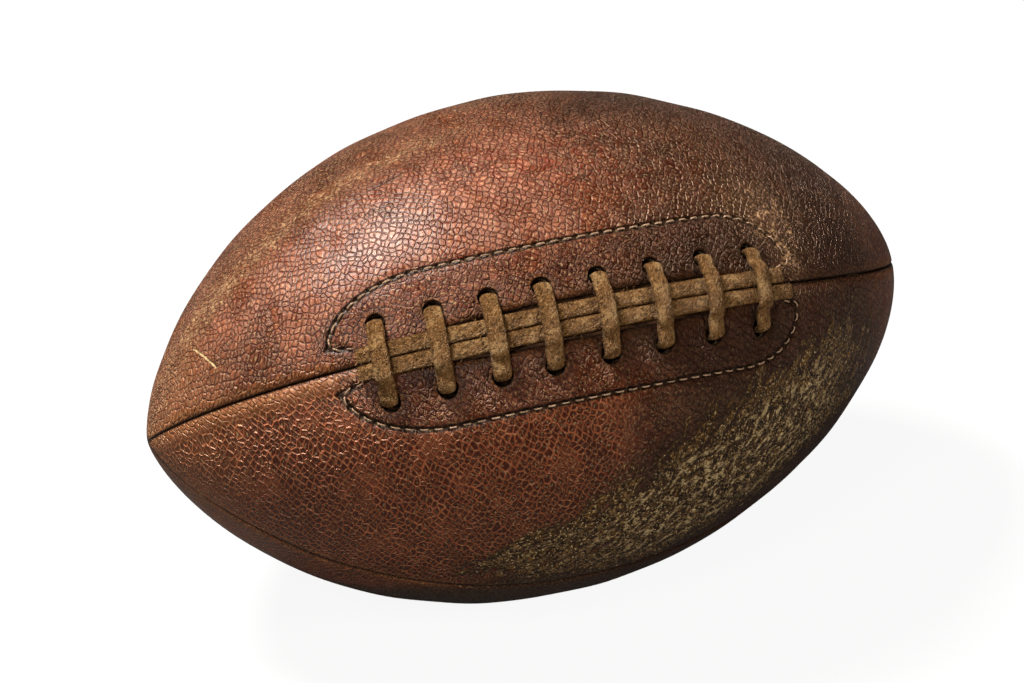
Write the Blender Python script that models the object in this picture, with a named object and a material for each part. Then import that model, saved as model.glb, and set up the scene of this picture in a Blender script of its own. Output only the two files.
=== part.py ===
"""A laced leather football, worn and slack, lying on its side.

The ball's long axis is X, the floor is z = 0 and the lacing faces -Y and up. Four leather
panels with cloth linings meet at four seams, which are turned in and sewn inside. One seam
is open under the lacing: two stitched facings stiffen its edges, one lace crosses it eight
times over two flat strips, and a tongue keeps the lace off the slack rubber bladder.
Lengths are in metres and turns in degrees, measured round the X axis from -Y upwards.
"""

import math

import bmesh
import bpy
from mathutils import Vector

# The ball's form
HALF_LENGTH = 0.142
RADIUS = 0.08812
LEFT_SHAPE = (2.211, 1.431)  # power and root of the outline towards -X
RIGHT_SHAPE = (1.866, 1.569)  # the same towards +X, where the ball is slimmer
ARCH = 0.00156  # the slack ends hang this far below the middle
FLAT_SAG = 0.004  # depth pressed flat where the ball rests
CENTRE_HEIGHT = RADIUS - ARCH - FLAT_SAG
TIP = 0.999  # the panels end at this share of the half length
STATIONS = 25

# The seams
LACE_SEAM = 39.205
SEAM_TWIST = (-4.744, -1.647, -3.935)  # turn of every seam along the ball, as a cubic
NARROW_PANEL = 71.8
WIDE_PANEL = (360 - NARROW_PANEL) / 3
SEAM_GAP = 0.0003
LEATHER = 0.0024
FLANGE_DEPTH = 0.007  # how far the sewn edges are turned in
FLANGE_THICKNESS = 0.0022
ROLL = ((0.0, 0.0018), (0.0013, 0.0007), (0.004, 0.0))  # distance from the seam, and its dip
MIDDLE_MARGIN = 0.009  # from the end of the roll to the first even column of the panel
FULL_WIDTH = 0.06  # a panel narrower than this has smaller edges
LEAST_SQUEEZE = 0.04

# The lace opening
OPENING_ENDS = (-0.080, 0.062)
OPENING_HALF = 0.005
LACES = 8
FOURTH_LACE = -0.0237
LACE_PITCH = (0.0175, 0.0193)  # before and after the fourth lace
LACE_LEAN = (0.0016, 0.0027)  # upper hole ahead of the lower one, first and last lace
LACE_SIZE = (0.0061, 0.0024)
LACE_IN_HOLE = 0.0054
UPPER_HOLE = 0.0119
LOWER_HOLE = -0.0137
HOLE_RADIUS = 0.0039
CUTTER_LENGTH = 0.024
LEG_SHIFT = 0.0006  # the lace lies against the far side of its hole
STRIP_WIDTH = 0.0053
STRIP_THICKNESS = 0.0024
STRIP_ENDS = {"lace_strip_upper": (-0.083, 0.064), "lace_strip_lower": (-0.0837, 0.0665)}
STRIP_LIFT = 0.00035  # height of the strips' underside at their ends, where the seam is closed
STRIP_SINK = 0.00135  # how much lower it is in the opening
HOLE_BEND = 0.0021  # rounding of the lace where it turns into a hole
SHOULDER = 0.0005  # how far past the strips' edges the lace bridges them
SLOPE = 0.0021  # length over which it comes down to the leather
LACE_TAIL = 0.010

# The layers under the leather, as depths below the ball's surface
GAP = 0.0003
LINING = (LEATHER + GAP, LEATHER + GAP + 0.0012)
LINING_MARGIN = 0.0036  # from the seam to the lining's edge
FACING = (0.0048, 0.0064)
LACE_CLEARANCE = 0.0005
LACE_RUN = FACING[1] + LACE_CLEARANCE + LACE_SIZE[1] / 2
TONGUE = (0.0096, 0.0110)
TONGUE_HALF = 0.018
TONGUE_ENDS = (-0.098, 0.078)

# The stitched outline of the facings
FACING_HALF = 0.0266
FACING_FOOT = 0.005  # where the round ends spring from
FACING_LEFT = (-0.057, 0.0335)  # middle and length of the left round end
FACING_RIGHT = (0.043, 0.0270)
FACING_CORNER = 0.0075
FACING_MARGIN = 0.0018  # leather outside the stitches
# From the leather's edge to the facing's, where the seam is closed and in the opening
FACING_SETBACK = (0.0045, 0.0008)
# How far the line turns back at its left and right end, and its distance across there
STITCH_RETURN = (0.0060, 0.0045, 0.0061)
THREAD = 0.0004
SEAM_THREAD_END = 0.128
LACE_SEAM_CLOSED = (-0.083, 0.066)

# The bladder
BLADDER_HALF = (0.116, 0.070, 0.070)
BLADDER_X = -0.004
BLADDER_WALL = 0.001
NECK_X = -0.012
NECK_RADIUS = 0.005
NECK_BORE = 0.0035
NECK_LENGTH = 0.030
BORE_EXCESS = 0.002  # how far the bore's cutter passes the neck
TIE_CORD = 0.0006
TIE_PLACE = 0.004  # below the neck's end
REST_GAP = 0.0004  # between the bladder and the lining or the tongue

COLOURS = {
    "panel leather": ((0.20, 0.055, 0.030), 0.5),
    "lining cloth": ((0.42, 0.36, 0.26), 0.9),
    "facing leather": ((0.22, 0.11, 0.06), 0.7),
    "lace leather": ((0.24, 0.17, 0.10), 0.75),
    "stitch thread": ((0.30, 0.24, 0.17), 0.8),
    "bladder rubber": ((0.32, 0.10, 0.06), 0.6),
}


def clear_scene():
    for old in list(bpy.data.objects):
        bpy.data.objects.remove(old, do_unlink=True)


def collection(name):
    made = bpy.data.collections.new(name)
    bpy.context.scene.collection.children.link(made)
    return made


def finish(name):
    """The plain material of one kind of piece."""
    made = bpy.data.materials.get(name)
    if made:
        return made
    colour, roughness = COLOURS[name]
    made = bpy.data.materials.new(name)
    made.use_nodes = True
    shader = made.node_tree.nodes["Principled BSDF"]
    shader.inputs["Base Color"].default_value = (*colour, 1)
    shader.inputs["Roughness"].default_value = roughness
    shader.inputs["Metallic"].default_value = 0
    made.diffuse_color = (*colour, 1)
    return made


# The ball's surface


def profile(x):
    """Radius of the ball at x, and its outward normal there: the part along X and the part outwards."""
    power, root = LEFT_SHAPE if x < 0 else RIGHT_SHAPE
    reach = abs(x) / HALF_LENGTH
    fall = 1 - reach**power
    radius = RADIUS * fall ** (1 / root)
    slope = radius * power * reach ** (power - 1) / (root * fall * HALF_LENGTH)
    steepness = math.hypot(1, slope)
    return radius, math.copysign(slope / steepness, x), 1 / steepness


def skin(x, turn, depth=0.0):
    """The point at a turn in radians, so far below the ball's surface. The floor flattens every layer."""
    radius, along, out = profile(x)
    arm = radius - depth * out
    arch = ARCH * (1 - (x / HALF_LENGTH) ** 2)
    z = CENTRE_HEIGHT + arch + arm * math.sin(turn)
    return Vector((x - depth * along, -arm * math.cos(turn), max(z, depth, 0)))


def seam_turn(x, from_lace_seam=0.0):
    reach = x / HALF_LENGTH
    twist = sum(part * reach ** (i + 1) for i, part in enumerate(SEAM_TWIST))
    return math.radians(LACE_SEAM + from_lace_seam + twist)


def beside_laces(x, across, height=0.0):
    """The point so far round the ball from the lace seam, upwards positive, and so high above the surface."""
    return skin(x, seam_turn(x) + across / profile(x)[0], -height)


def outward(x, across):
    return (beside_laces(x, across, 0.001) - beside_laces(x, across)).normalized()


def opening(x):
    """Half the width of the lace opening at x."""
    low, high = OPENING_ENDS
    place = (2 * x - low - high) / (high - low)
    return OPENING_HALF * max(0.0, 1 - place**4)


def openness(x):
    return opening(x) / OPENING_HALF


def stations(count=STATIONS, reach=TIP):
    """Places along the ball, closer together towards the tips."""
    return [-reach * HALF_LENGTH * math.cos(math.pi * i / (count - 1)) for i in range(count)]


# Building meshes


def add_mesh(name, mesh, home, kind):
    made = bpy.data.objects.new(name, mesh)
    home.objects.link(made)
    mesh.materials.append(finish(kind))
    mesh.shade_smooth()
    mesh.set_sharp_from_angle(angle=math.radians(40))
    return made


def add_sheet(name, outer, inner, home, kind):
    """A wall between two lofted faces: rows of points, each outer one with its inner one."""
    shape = bmesh.new()
    faces = [[[shape.verts.new(p) for p in row] for row in side] for side in (outer, inner)]
    rows = len(outer)
    columns = len(outer[0])
    for side in faces:
        for i in range(rows - 1):
            for j in range(columns - 1):
                shape.faces.new((side[i][j], side[i][j + 1], side[i + 1][j + 1], side[i + 1][j]))
    rim = [(0, j) for j in range(columns - 1)]
    rim += [(i, columns - 1) for i in range(rows - 1)]
    rim += [(rows - 1, j) for j in range(columns - 1, 0, -1)]
    rim += [(i, 0) for i in range(rows - 1, 0, -1)]
    top, under = faces
    for (i, j), (k, m) in zip(rim, rim[1:] + rim[:1]):
        shape.faces.new((top[i][j], top[k][m], under[k][m], under[i][j]))
    bmesh.ops.recalc_face_normals(shape, faces=shape.faces)
    mesh = bpy.data.meshes.new(name)
    shape.to_mesh(mesh)
    shape.free()
    return add_mesh(name, mesh, home, kind)


def add_sweep(name, rings, home, kind):
    """A closed bar through rings that all have the same number of points."""
    shape = bmesh.new()
    loops = [[shape.verts.new(p) for p in ring] for ring in rings]
    count = len(loops[0])
    for near, far in zip(loops, loops[1:]):
        for j in range(count):
            k = (j + 1) % count
            shape.faces.new((near[j], near[k], far[k], far[j]))
    shape.faces.new(loops[0])
    shape.faces.new(loops[-1])
    bmesh.ops.recalc_face_normals(shape, faces=shape.faces)
    mesh = bpy.data.meshes.new(name)
    shape.to_mesh(mesh)
    shape.free()
    return add_mesh(name, mesh, home, kind)


def add_thread(name, points, radius, home):
    """A thread as a round wire through its points."""
    curve = bpy.data.curves.new(name, "CURVE")
    curve.dimensions = "3D"
    curve.bevel_depth = radius
    curve.bevel_resolution = 1
    curve.use_fill_caps = True
    line = curve.splines.new("POLY")
    line.points.add(len(points) - 1)
    for place, point in zip(line.points, points):
        place.co = (*point, 1)
    curve.materials.append(finish("stitch thread"))
    made = bpy.data.objects.new(name, curve)
    home.objects.link(made)
    return made


def cut(piece, cutters):
    """Takes a collection of cutters out of a piece."""
    made = piece.modifiers.new("lace holes", "BOOLEAN")
    made.operation = "DIFFERENCE"
    made.operand_type = "COLLECTION"
    made.collection = cutters
    made.solver = "EXACT"


# The panels and their linings


def flange_depth(x, squeeze, open_here):
    """How far the sewn edge is turned in: nothing in the lace opening, and less at the tips."""
    closed = (1 - openness(x)) ** 4 if open_here else 1
    return LEATHER + (FLANGE_DEPTH - LEATHER) * squeeze * closed


def squeeze_at(x, start, end):
    """How much smaller than full size the edges of the panel between two seams are at x."""
    width = math.radians(end - start) * profile(x)[0]
    return min(1, max(LEAST_SQUEEZE, width / FULL_WIDTH))


def edge_start(x, open_here):
    """Distance from the seam to the leather."""
    return SEAM_GAP / 2 + (opening(x) if open_here else 0)


def panel_edge(x, squeeze, open_here):
    """The turned-in edge, from its flange to the flat leather: outer and inner (distance, depth) pairs."""
    start = edge_start(x, open_here)
    flange = flange_depth(x, squeeze, open_here)
    outer = [(start, flange)]
    inner = [(start + FLANGE_THICKNESS * squeeze, flange)]
    for distance, dip in ROLL:
        outer.append((start + distance * squeeze, dip * squeeze))
        inner.append((start + (distance * 0.7 + FLANGE_THICKNESS + GAP) * squeeze, LEATHER))
    return outer, inner


def middle_turns(x, start, end, columns, opens):
    """Evenly spaced turns between the two rolled edges of a panel."""
    radius = profile(x)[0]
    margin = (ROLL[-1][0] + MIDDLE_MARGIN) * squeeze_at(x, start, end)
    low = seam_turn(x, start) + (edge_start(x, opens[0]) + margin) / radius
    high = seam_turn(x, end) - (edge_start(x, opens[1]) + margin) / radius
    return [low + (high - low) * i / (columns - 1) for i in range(columns)]


def add_panel(name, start, end, columns, opens, home):
    """One leather panel between two seams. opens says at which of them the laces are."""
    outer = []
    inner = []
    for x in stations():
        radius = profile(x)[0]
        squeeze = squeeze_at(x, start, end)
        edges = [panel_edge(x, squeeze, open_here) for open_here in opens]
        turns = middle_turns(x, start, end, columns, opens)
        for rows, side, depth in ((outer, 0, 0.0), (inner, 1, LEATHER)):
            row = [skin(x, seam_turn(x, start) + d / radius, deep) for d, deep in edges[0][side]]
            row += [skin(x, turn, depth) for turn in turns]
            last = [skin(x, seam_turn(x, end) - d / radius, deep) for d, deep in edges[1][side]]
            rows.append(row + last[::-1])
    return add_sheet(name, outer, inner, home, "panel leather")


def add_lining(name, start, end, columns, every, opens, home):
    """The cloth under one panel, clear of the panel's turned-in edges."""
    outer = []
    inner = []
    for x in stations()[every:-every:every]:
        radius = profile(x)[0]
        squeeze = squeeze_at(x, start, end)
        margins = [LINING_MARGIN * squeeze + opening(x) * 0.7 * open_here for open_here in opens]
        turns = [seam_turn(x, start) + margins[0] / radius]
        turns += middle_turns(x, start, end, columns, opens)
        turns.append(seam_turn(x, end) - margins[1] / radius)
        outer.append([skin(x, turn, LINING[0]) for turn in turns])
        inner.append([skin(x, turn, LINING[1]) for turn in turns])
    return add_sheet(name, outer, inner, home, "lining cloth")


# The lacing


def lace_places():
    """x of each lace where it crosses the seam, and how far its upper hole leads its lower one."""
    places = []
    for i in range(LACES):
        pitch = LACE_PITCH[0] if i < 3 else LACE_PITCH[1]
        lean = LACE_LEAN[0] + (LACE_LEAN[1] - LACE_LEAN[0]) * i / (LACES - 1)
        places.append((FOURTH_LACE + (i - 3) * pitch, lean))
    return places


def add_hole_cutters(side, home):
    """Round cutters square to the leather, one for each lace on one side of the seam."""
    across = UPPER_HOLE if side > 0 else LOWER_HOLE
    for i, (x, lean) in enumerate(lace_places()):
        at = x + side * lean / 2
        shape = bmesh.new()
        bmesh.ops.create_cone(
            shape,
            cap_ends=True,
            segments=14,
            radius1=HOLE_RADIUS,
            radius2=HOLE_RADIUS,
            depth=CUTTER_LENGTH,
        )
        mesh = bpy.data.meshes.new("hole")
        shape.to_mesh(mesh)
        shape.free()
        cutter = bpy.data.objects.new(f"hole_cutter_{side}_{i}", mesh)
        home.objects.link(cutter)
        cutter.location = beside_laces(at, across)
        cutter.rotation_mode = "QUATERNION"
        cutter.rotation_quaternion = outward(at, across).to_track_quat("Z", "Y")
        cutter.hide_render = True
        cutter.display_type = "WIRE"


def strip_foot(x):
    """Height of the strips' underside: sunk into the opening, and on the leather at its ends."""
    return STRIP_LIFT - STRIP_SINK * openness(x) ** 3


def add_strip(name, side, home):
    """One of the two flat strips that lie along the seam under the cross laces."""
    low, high = STRIP_ENDS[name]
    outer = []
    inner = []
    steps = 24
    for i in range(steps + 1):
        x = low + (high - low) * i / steps
        edges = (side * GAP / 2, side * (GAP / 2 + STRIP_WIDTH))
        foot = strip_foot(x)
        outer.append([beside_laces(x, across, foot + STRIP_THICKNESS) for across in edges])
        inner.append([beside_laces(x, across, foot) for across in edges])
    return add_sheet(name, outer, inner, home, "lace leather")


def lace_corners():
    """The lace's route as (x, distance across, height, how much the corner is rounded)."""
    over = GAP + LACE_SIZE[1] / 2
    up = UPPER_HOLE + LEG_SHIFT
    down = LOWER_HOLE - LEG_SHIFT
    edge = GAP / 2 + STRIP_WIDTH + SHOULDER
    route = []
    for i, (x, lean) in enumerate(lace_places()):
        slope = lean / (up - down)
        bridge = strip_foot(x) + STRIP_THICKNESS + over
        stops = (
            (down, -LACE_RUN, HOLE_BEND),
            (down, over, HOLE_BEND),
            (-edge - SLOPE, over, 0.0),
            (-edge, bridge, 0.0),
            (edge, bridge, 0.0),
            (edge + SLOPE, over, 0.0),
            (up, over, HOLE_BEND),
            (up, -LACE_RUN, HOLE_BEND),
        )
        if route:
            route += between(route[-1], (x + slope * down, down, -LACE_RUN, 0.0), 3)
        route += [(x + slope * across, across, height, bend) for across, height, bend in stops]
    first = route[0]
    last = route[-1]
    before = (first[0], first[1] + LACE_TAIL, first[2], 0.0)
    after = (last[0], last[1] - LACE_TAIL, last[2], 0.0)
    return [before, *route, after]


def between(start, end, pieces):
    """Points that split the run behind the panels, so that it follows their curve."""
    split = []
    for i in range(1, pieces):
        share = i / pieces
        split.append(tuple(a + (b - a) * share for a, b in zip(start[:3], end[:3])) + (0.0,))
    return split


def rounded(corners, steps=2):
    """The route with each corner replaced by a short curve."""
    points = [corners[0][:3]]
    for before, corner, after in zip(corners, corners[1:], corners[2:]):
        here = Vector(corner[:3])
        if corner[3] == 0:
            points.append(tuple(here))
            continue
        start = here + (Vector(before[:3]) - here).normalized() * corner[3]
        end = here + (Vector(after[:3]) - here).normalized() * corner[3]
        for i in range(steps + 1):
            t = i / steps
            points.append(tuple(start * (1 - t) ** 2 + here * 2 * t * (1 - t) + end * t**2))
    points.append(corners[-1][:3])
    return points


def add_lace(home):
    """One leather lace through all the holes, flat across the seam and narrower in the holes."""
    route = rounded(lace_corners())
    places = [beside_laces(*point) for point in route]
    rings = []
    for i, (x, across, height) in enumerate(route):
        here = places[i]
        ahead = (places[min(i + 1, len(places) - 1)] - places[max(i - 1, 0)]).normalized()
        along = beside_laces(x + 0.001, across, height) - beside_laces(x - 0.001, across, height)
        wide = (along - along.dot(ahead) * ahead).normalized()
        thick = ahead.cross(wide)
        in_hole = -LACE_RUN + 0.0004 < height < 0.001
        half = (LACE_IN_HOLE if in_hole else LACE_SIZE[0]) / 2
        rise = LACE_SIZE[1] / 2
        shoulder = half * 0.8
        section = (
            (half, 0),
            (shoulder, rise),
            (-shoulder, rise),
            (-half, 0),
            (-shoulder, -rise),
            (shoulder, -rise),
        )
        rings.append([here + wide * w + thick * t for w, t in section])
    return add_sweep("cross_lace", rings, home, "lace leather")


# The facings, their stitches and the tongue


def facing_width(x):
    """Distance from the lace seam to the facing's stitches."""
    for (middle, length), side in ((FACING_LEFT, -1), (FACING_RIGHT, 1)):
        past = side * (x - middle) / length
        if past > 0:
            rise = math.sqrt(max(0.0, 1 - past**2))
            return FACING_FOOT + (FACING_HALF - FACING_FOOT) * rise
    return FACING_HALF


def add_facing(name, side, home):
    """The leather strip sewn behind one edge of the lace opening."""
    low = FACING_LEFT[0] - FACING_LEFT[1] - FACING_MARGIN / 2
    high = FACING_RIGHT[0] + FACING_RIGHT[1] + FACING_MARGIN / 2
    steps = 18
    columns = 4
    outer = []
    inner = []
    for i in range(steps + 1):
        x = (low + high) / 2 - (high - low) / 2 * math.cos(math.pi * i / steps)
        closed, opened = FACING_SETBACK
        near = opening(x) + closed + (opened - closed) * openness(x)
        far = max(facing_width(x) + FACING_MARGIN, FACING_CORNER)
        places = [side * (near + (far - near) * j / columns) for j in range(columns + 1)]
        outer.append([beside_laces(x, across, -FACING[0]) for across in places])
        inner.append([beside_laces(x, across, -FACING[1]) for across in places])
    return add_sheet(name, outer, inner, home, "facing leather")


def stitch_outline(side):
    """The stitched line round one facing, from the strips' left end to their right end."""
    left = FACING_LEFT[0] - FACING_LEFT[1]
    right = FACING_RIGHT[0] + FACING_RIGHT[1]
    left_return, right_return, across_there = STITCH_RETURN
    points = [(left + left_return, across_there)]
    foot = math.asin((FACING_CORNER - FACING_FOOT) / (FACING_HALF - FACING_FOOT))
    arc_steps = 9
    for i in range(arc_steps + 1):
        turn = foot + (math.pi / 2 - foot) * i / arc_steps
        x = FACING_LEFT[0] - FACING_LEFT[1] * math.cos(turn)
        points.append((x, facing_width(x)))
    straight = 12
    for i in range(1, straight):
        x = FACING_LEFT[0] + (FACING_RIGHT[0] - FACING_LEFT[0]) * i / straight
        points.append((x, FACING_HALF))
    for i in range(arc_steps + 1):
        turn = math.pi / 2 + (foot - math.pi / 2) * i / arc_steps
        x = FACING_RIGHT[0] + FACING_RIGHT[1] * math.cos(turn)
        points.append((x, facing_width(x)))
    points.append((right - right_return, across_there))
    return [(x, side * across) for x, across in points]


def add_facing_stitches(name, side, home):
    height = GAP + THREAD
    points = [beside_laces(x, across, height) for x, across in stitch_outline(side)]
    return add_thread(name, points, THREAD, home)


def add_tongue(home):
    """The flap between the lacing and the bladder."""
    low, high = TONGUE_ENDS
    outer = []
    inner = []
    steps = 12
    for i in range(steps + 1):
        x = low + (high - low) * i / steps
        places = [TONGUE_HALF * (j / 2 - 1) for j in range(5)]
        outer.append([beside_laces(x, across, -TONGUE[0]) for across in places])
        inner.append([beside_laces(x, across, -TONGUE[1]) for across in places])
    return add_sheet("lace_tongue", outer, inner, home, "facing leather")


# The seams' threads


def add_seam_thread(name, from_lace_seam, low, high, home):
    """The thread that closes one seam inside, along the tips of the two turned-in edges."""
    points = []
    steps = max(4, round((high - low) / 0.012))
    for i in range(steps + 1):
        x = low + (high - low) * i / steps
        squeeze = squeeze_at(x, 0, WIDE_PANEL)
        depth = flange_depth(x, squeeze, False) + GAP + THREAD
        points.append(skin(x, seam_turn(x, from_lace_seam), depth))
    return add_thread(name, points, THREAD, home)


# The bladder


def add_ellipsoid(name, halves, centre, home):
    shape = bmesh.new()
    bmesh.ops.create_uvsphere(shape, u_segments=20, v_segments=12, radius=1)
    for point in shape.verts:
        x, y, z = point.co
        point.co = centre + Vector((z * halves[0], x * halves[1], y * halves[2]))
    mesh = bpy.data.meshes.new(name)
    shape.to_mesh(mesh)
    shape.free()
    return add_mesh(name, mesh, home, "bladder rubber")


def add_tube(name, radius, length, top, direction, home):
    """A closed cylinder that ends at top and runs back from it."""
    shape = bmesh.new()
    bmesh.ops.create_cone(
        shape, cap_ends=True, segments=14, radius1=radius, radius2=radius, depth=length
    )
    mesh = bpy.data.meshes.new(name)
    shape.to_mesh(mesh)
    shape.free()
    made = add_mesh(name, mesh, home, "bladder rubber")
    made.location = top - direction * length / 2
    made.rotation_mode = "QUATERNION"
    made.rotation_quaternion = direction.to_track_quat("Z", "Y")
    return made


def as_cutter(piece):
    piece.hide_render = True
    piece.display_type = "WIRE"
    return piece


def combine(piece, other, operation):
    made = piece.modifiers.new(operation.lower(), "BOOLEAN")
    made.operation = operation
    made.object = as_cutter(other)
    made.solver = "EXACT"


def add_bladder(home, cutters):
    """The slack rubber bladder: a thin shell that lies on the lining, with an open neck under the tongue."""
    centre = Vector((BLADDER_X, 0, LINING[1] + REST_GAP + BLADDER_HALF[2]))
    hollow = [half - BLADDER_WALL for half in BLADDER_HALF]
    top = beside_laces(NECK_X, 0, -TONGUE[1] - 2 * REST_GAP)
    direction = outward(NECK_X, 0)
    bladder = add_ellipsoid("bladder", BLADDER_HALF, centre, home)
    neck = add_tube("bladder_neck", NECK_RADIUS, NECK_LENGTH, top, direction, cutters)
    inside = add_ellipsoid("bladder_hollow", hollow, centre, cutters)
    beyond = top + direction * BORE_EXCESS
    bore_length = NECK_LENGTH + 4 * BORE_EXCESS
    bore = add_tube("bladder_bore", NECK_BORE, bore_length, beyond, direction, cutters)
    combine(bladder, neck, "UNION")
    combine(bladder, inside, "DIFFERENCE")
    combine(bladder, bore, "DIFFERENCE")
    return top, direction


def add_neck_tie(top, direction, home):
    """The cord tied round the bladder's neck."""
    bpy.ops.mesh.primitive_torus_add(
        location=top - direction * TIE_PLACE,
        rotation=direction.to_track_quat("Z", "Y").to_euler(),
        major_segments=16,
        minor_segments=6,
        major_radius=NECK_RADIUS + GAP + TIE_CORD,
        minor_radius=TIE_CORD,
    )
    tie = bpy.context.object
    tie.name = "neck_tie"
    tie.data.materials.append(finish("stitch thread"))
    for owner in list(tie.users_collection):
        owner.objects.unlink(tie)
    home.objects.link(tie)


def main():
    clear_scene()
    ball = collection("laced_football")
    upper_holes = collection("upper lace hole cutters")
    lower_holes = collection("lower lace hole cutters")
    bladder_cutters = collection("bladder cutters")
    add_hole_cutters(1, upper_holes)
    add_hole_cutters(-1, lower_holes)

    wide = WIDE_PANEL
    turn = 360 - NARROW_PANEL
    seams = {
        "upper_front": (0, wide, 7, (True, False)),
        "back": (wide, 2 * wide, 7, (False, False)),
        "bottom": (2 * wide, turn, 7, (False, False)),
        "lower_front": (turn, 360, 5, (False, True)),
    }
    holes = {"upper_front": upper_holes, "lower_front": lower_holes}
    for place, (start, end, columns, opens) in seams.items():
        panel = add_panel(f"panel_{place}", start, end, columns, opens, ball)
        fine = place in holes
        lining_columns = columns if fine else (columns + 1) // 2
        spacing = 1 if fine else 2
        name = f"lining_{place}"
        lining = add_lining(name, start, end, lining_columns, spacing, opens, ball)
        if fine:
            cut(panel, holes[place])
            cut(lining, holes[place])
    for name, side, cutters in (("upper", 1, upper_holes), ("lower", -1, lower_holes)):
        facing = add_facing(f"facing_{name}", side, ball)
        cut(facing, cutters)
        add_facing_stitches(f"facing_stitches_{name}", side, ball)
        add_strip(f"lace_strip_{name}", side, ball)
    add_lace(ball)
    add_tongue(ball)

    end = SEAM_THREAD_END
    add_seam_thread("seam_thread_lace_left", 0, -end, LACE_SEAM_CLOSED[0], ball)
    add_seam_thread("seam_thread_lace_right", 0, LACE_SEAM_CLOSED[1], end, ball)
    for name, place in (("top", wide), ("back", 2 * wide), ("lower", turn)):
        add_seam_thread(f"seam_thread_{name}", place, -end, end, ball)
    top, direction = add_bladder(ball, bladder_cutters)
    add_neck_tie(top, direction, ball)


main()
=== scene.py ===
"""The looks of a worn, slack leather football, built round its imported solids.

Everything is in metres, with the ball's long axis on X, the floor at z = 0 and the lacing
facing -Y and up. A place on the leather is given by x and by its distance across: how far
round the ball it is from the seam under the laces, upwards positive. The mesh attributes
that the materials read are in millimetres.
"""

import math

import bpy
import numpy as np
from bpy.props import FloatProperty, FloatVectorProperty, IntProperty, PointerProperty
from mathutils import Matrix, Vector


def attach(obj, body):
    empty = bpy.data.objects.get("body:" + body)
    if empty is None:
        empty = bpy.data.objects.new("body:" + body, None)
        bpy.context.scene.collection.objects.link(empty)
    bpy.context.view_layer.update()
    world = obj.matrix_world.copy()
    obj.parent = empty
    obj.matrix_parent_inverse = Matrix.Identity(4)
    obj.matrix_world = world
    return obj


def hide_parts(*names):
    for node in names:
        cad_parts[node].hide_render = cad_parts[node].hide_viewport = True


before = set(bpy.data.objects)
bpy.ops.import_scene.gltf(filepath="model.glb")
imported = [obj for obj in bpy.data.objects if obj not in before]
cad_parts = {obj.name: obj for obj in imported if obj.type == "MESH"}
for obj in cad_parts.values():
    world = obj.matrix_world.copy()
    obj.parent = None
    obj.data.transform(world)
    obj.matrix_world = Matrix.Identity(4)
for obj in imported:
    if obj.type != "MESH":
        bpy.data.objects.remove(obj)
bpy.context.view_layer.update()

bl_info = {
    "name": "Worn Laced Football",
    "version": (1, 0, 0),
    "blender": (4, 5, 0),
    "location": "3D View > Sidebar > Football",
    "description": "Leather, lacing and stitching of a worn football, round its packed solids",
    "category": "Object",
}

MM = 0.001

# The ball's form, as its solids have it
HALF_LENGTH = 0.142
RADIUS = 0.08812
LEFT_SHAPE = (2.211, 1.431)
RIGHT_SHAPE = (1.866, 1.569)
ARCH = 0.00156
CENTRE_HEIGHT = RADIUS - ARCH - 0.004
TIP = 0.999
LACE_SEAM = 39.205
SEAM_TWIST = (-4.744, -1.647, -3.935)
NARROW_PANEL = 71.8
WIDE_PANEL = (360 - NARROW_PANEL) / 3
SEAM_GAP = 0.0003
LEATHER = 0.0024
FLANGE_DEPTH = 0.007
FLANGE_THICKNESS = 0.0022
FULL_WIDTH = 0.06  # a panel narrower than this has its edges squeezed
LEAST_SQUEEZE = 0.04
GAP = 0.0003
OUTLINE_STEPS = 4001

# The lace opening and what crosses it
OPENING_ENDS = (-0.080, 0.062)
OPENING_HALF = 0.005
LIPS_APART = 1.32  # how much wider the lips stand than the opening
LACES = 8
FOURTH_LACE = -0.0237
LACE_PITCH = (0.0175, 0.0193)
LACE_LEAN = (0.0016, 0.0027)
UPPER_HOLE = 0.0119
LOWER_HOLE = -0.0137
HOLE_SHIFT = (0.0003, -0.0001)  # from those places to the middles of the punched holes
LEG_SHIFT = 0.0006
STRIP_WIDTH = 0.0053
STRIP_THICKNESS = 0.0024
STRIP_ENDS = {"lace_strip_upper": (-0.083, 0.064), "lace_strip_lower": (-0.0837, 0.0665)}
STRIP_LIFT = 0.00035
STRIP_SINK = 0.00135
FACING_HALF = 0.0266
FACING_FOOT = 0.005
FACING_LEFT = (-0.057, 0.0335)
FACING_RIGHT = (0.043, 0.0270)
FACING_CORNER = 0.0075
STITCH_RETURN = (0.0060, 0.0045, 0.0061)  # where the stitched line ends: left, right, across
LINE_POINTS = 500
NEAR_FACING = (-0.098, 0.078, 0.034)  # the x and width within which distance to it is measured
FAR = 0.05  # stands for any distance outside that
LACE_RUN = 0.0081  # how deep the lace runs from hole to hole
LACE_TAIL = 0.010  # its tucked ends
LACE_RISE = 0.0021  # how far beside the strips the lace starts to rise over them
STRIP_CLEARANCE = 0.0005
ROUTE_STEP = 0.0006
BEND_STEPS = 9
THONG_SIDES = 24
THONG_CROWN = 0.22  # how much thinner a thong is at its edges
FACES_APART = 4.0  # mm between the patterns of a thong's two faces
STRIP_STEPS = 420
STRIP_CORNER = 0.30  # how round a strip's section is, from 0 for square to 1
LACE_CORNER = 0.75
LACE_PINCH = 0.0032  # how far along a strip each lace pinches it
FRAYED_END = 0.0015  # how much of a strip's end is frayed
FIBRE_THICKNESS = 0.00009
STRIP_EDGES = 4 * 0.148 * STRIP_THICKNESS  # the area of both strips' cut sides
SHORT = 0.001  # a short way off, to find a direction
STITCH_HEIGHT = 0.00005
STRAND_DIP = 0.0009
STRAND_TWISTS = 1.7
PLY_THICKNESS = 0.56  # of the thread's radius
PLY_OFFSET = 0.46

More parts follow.
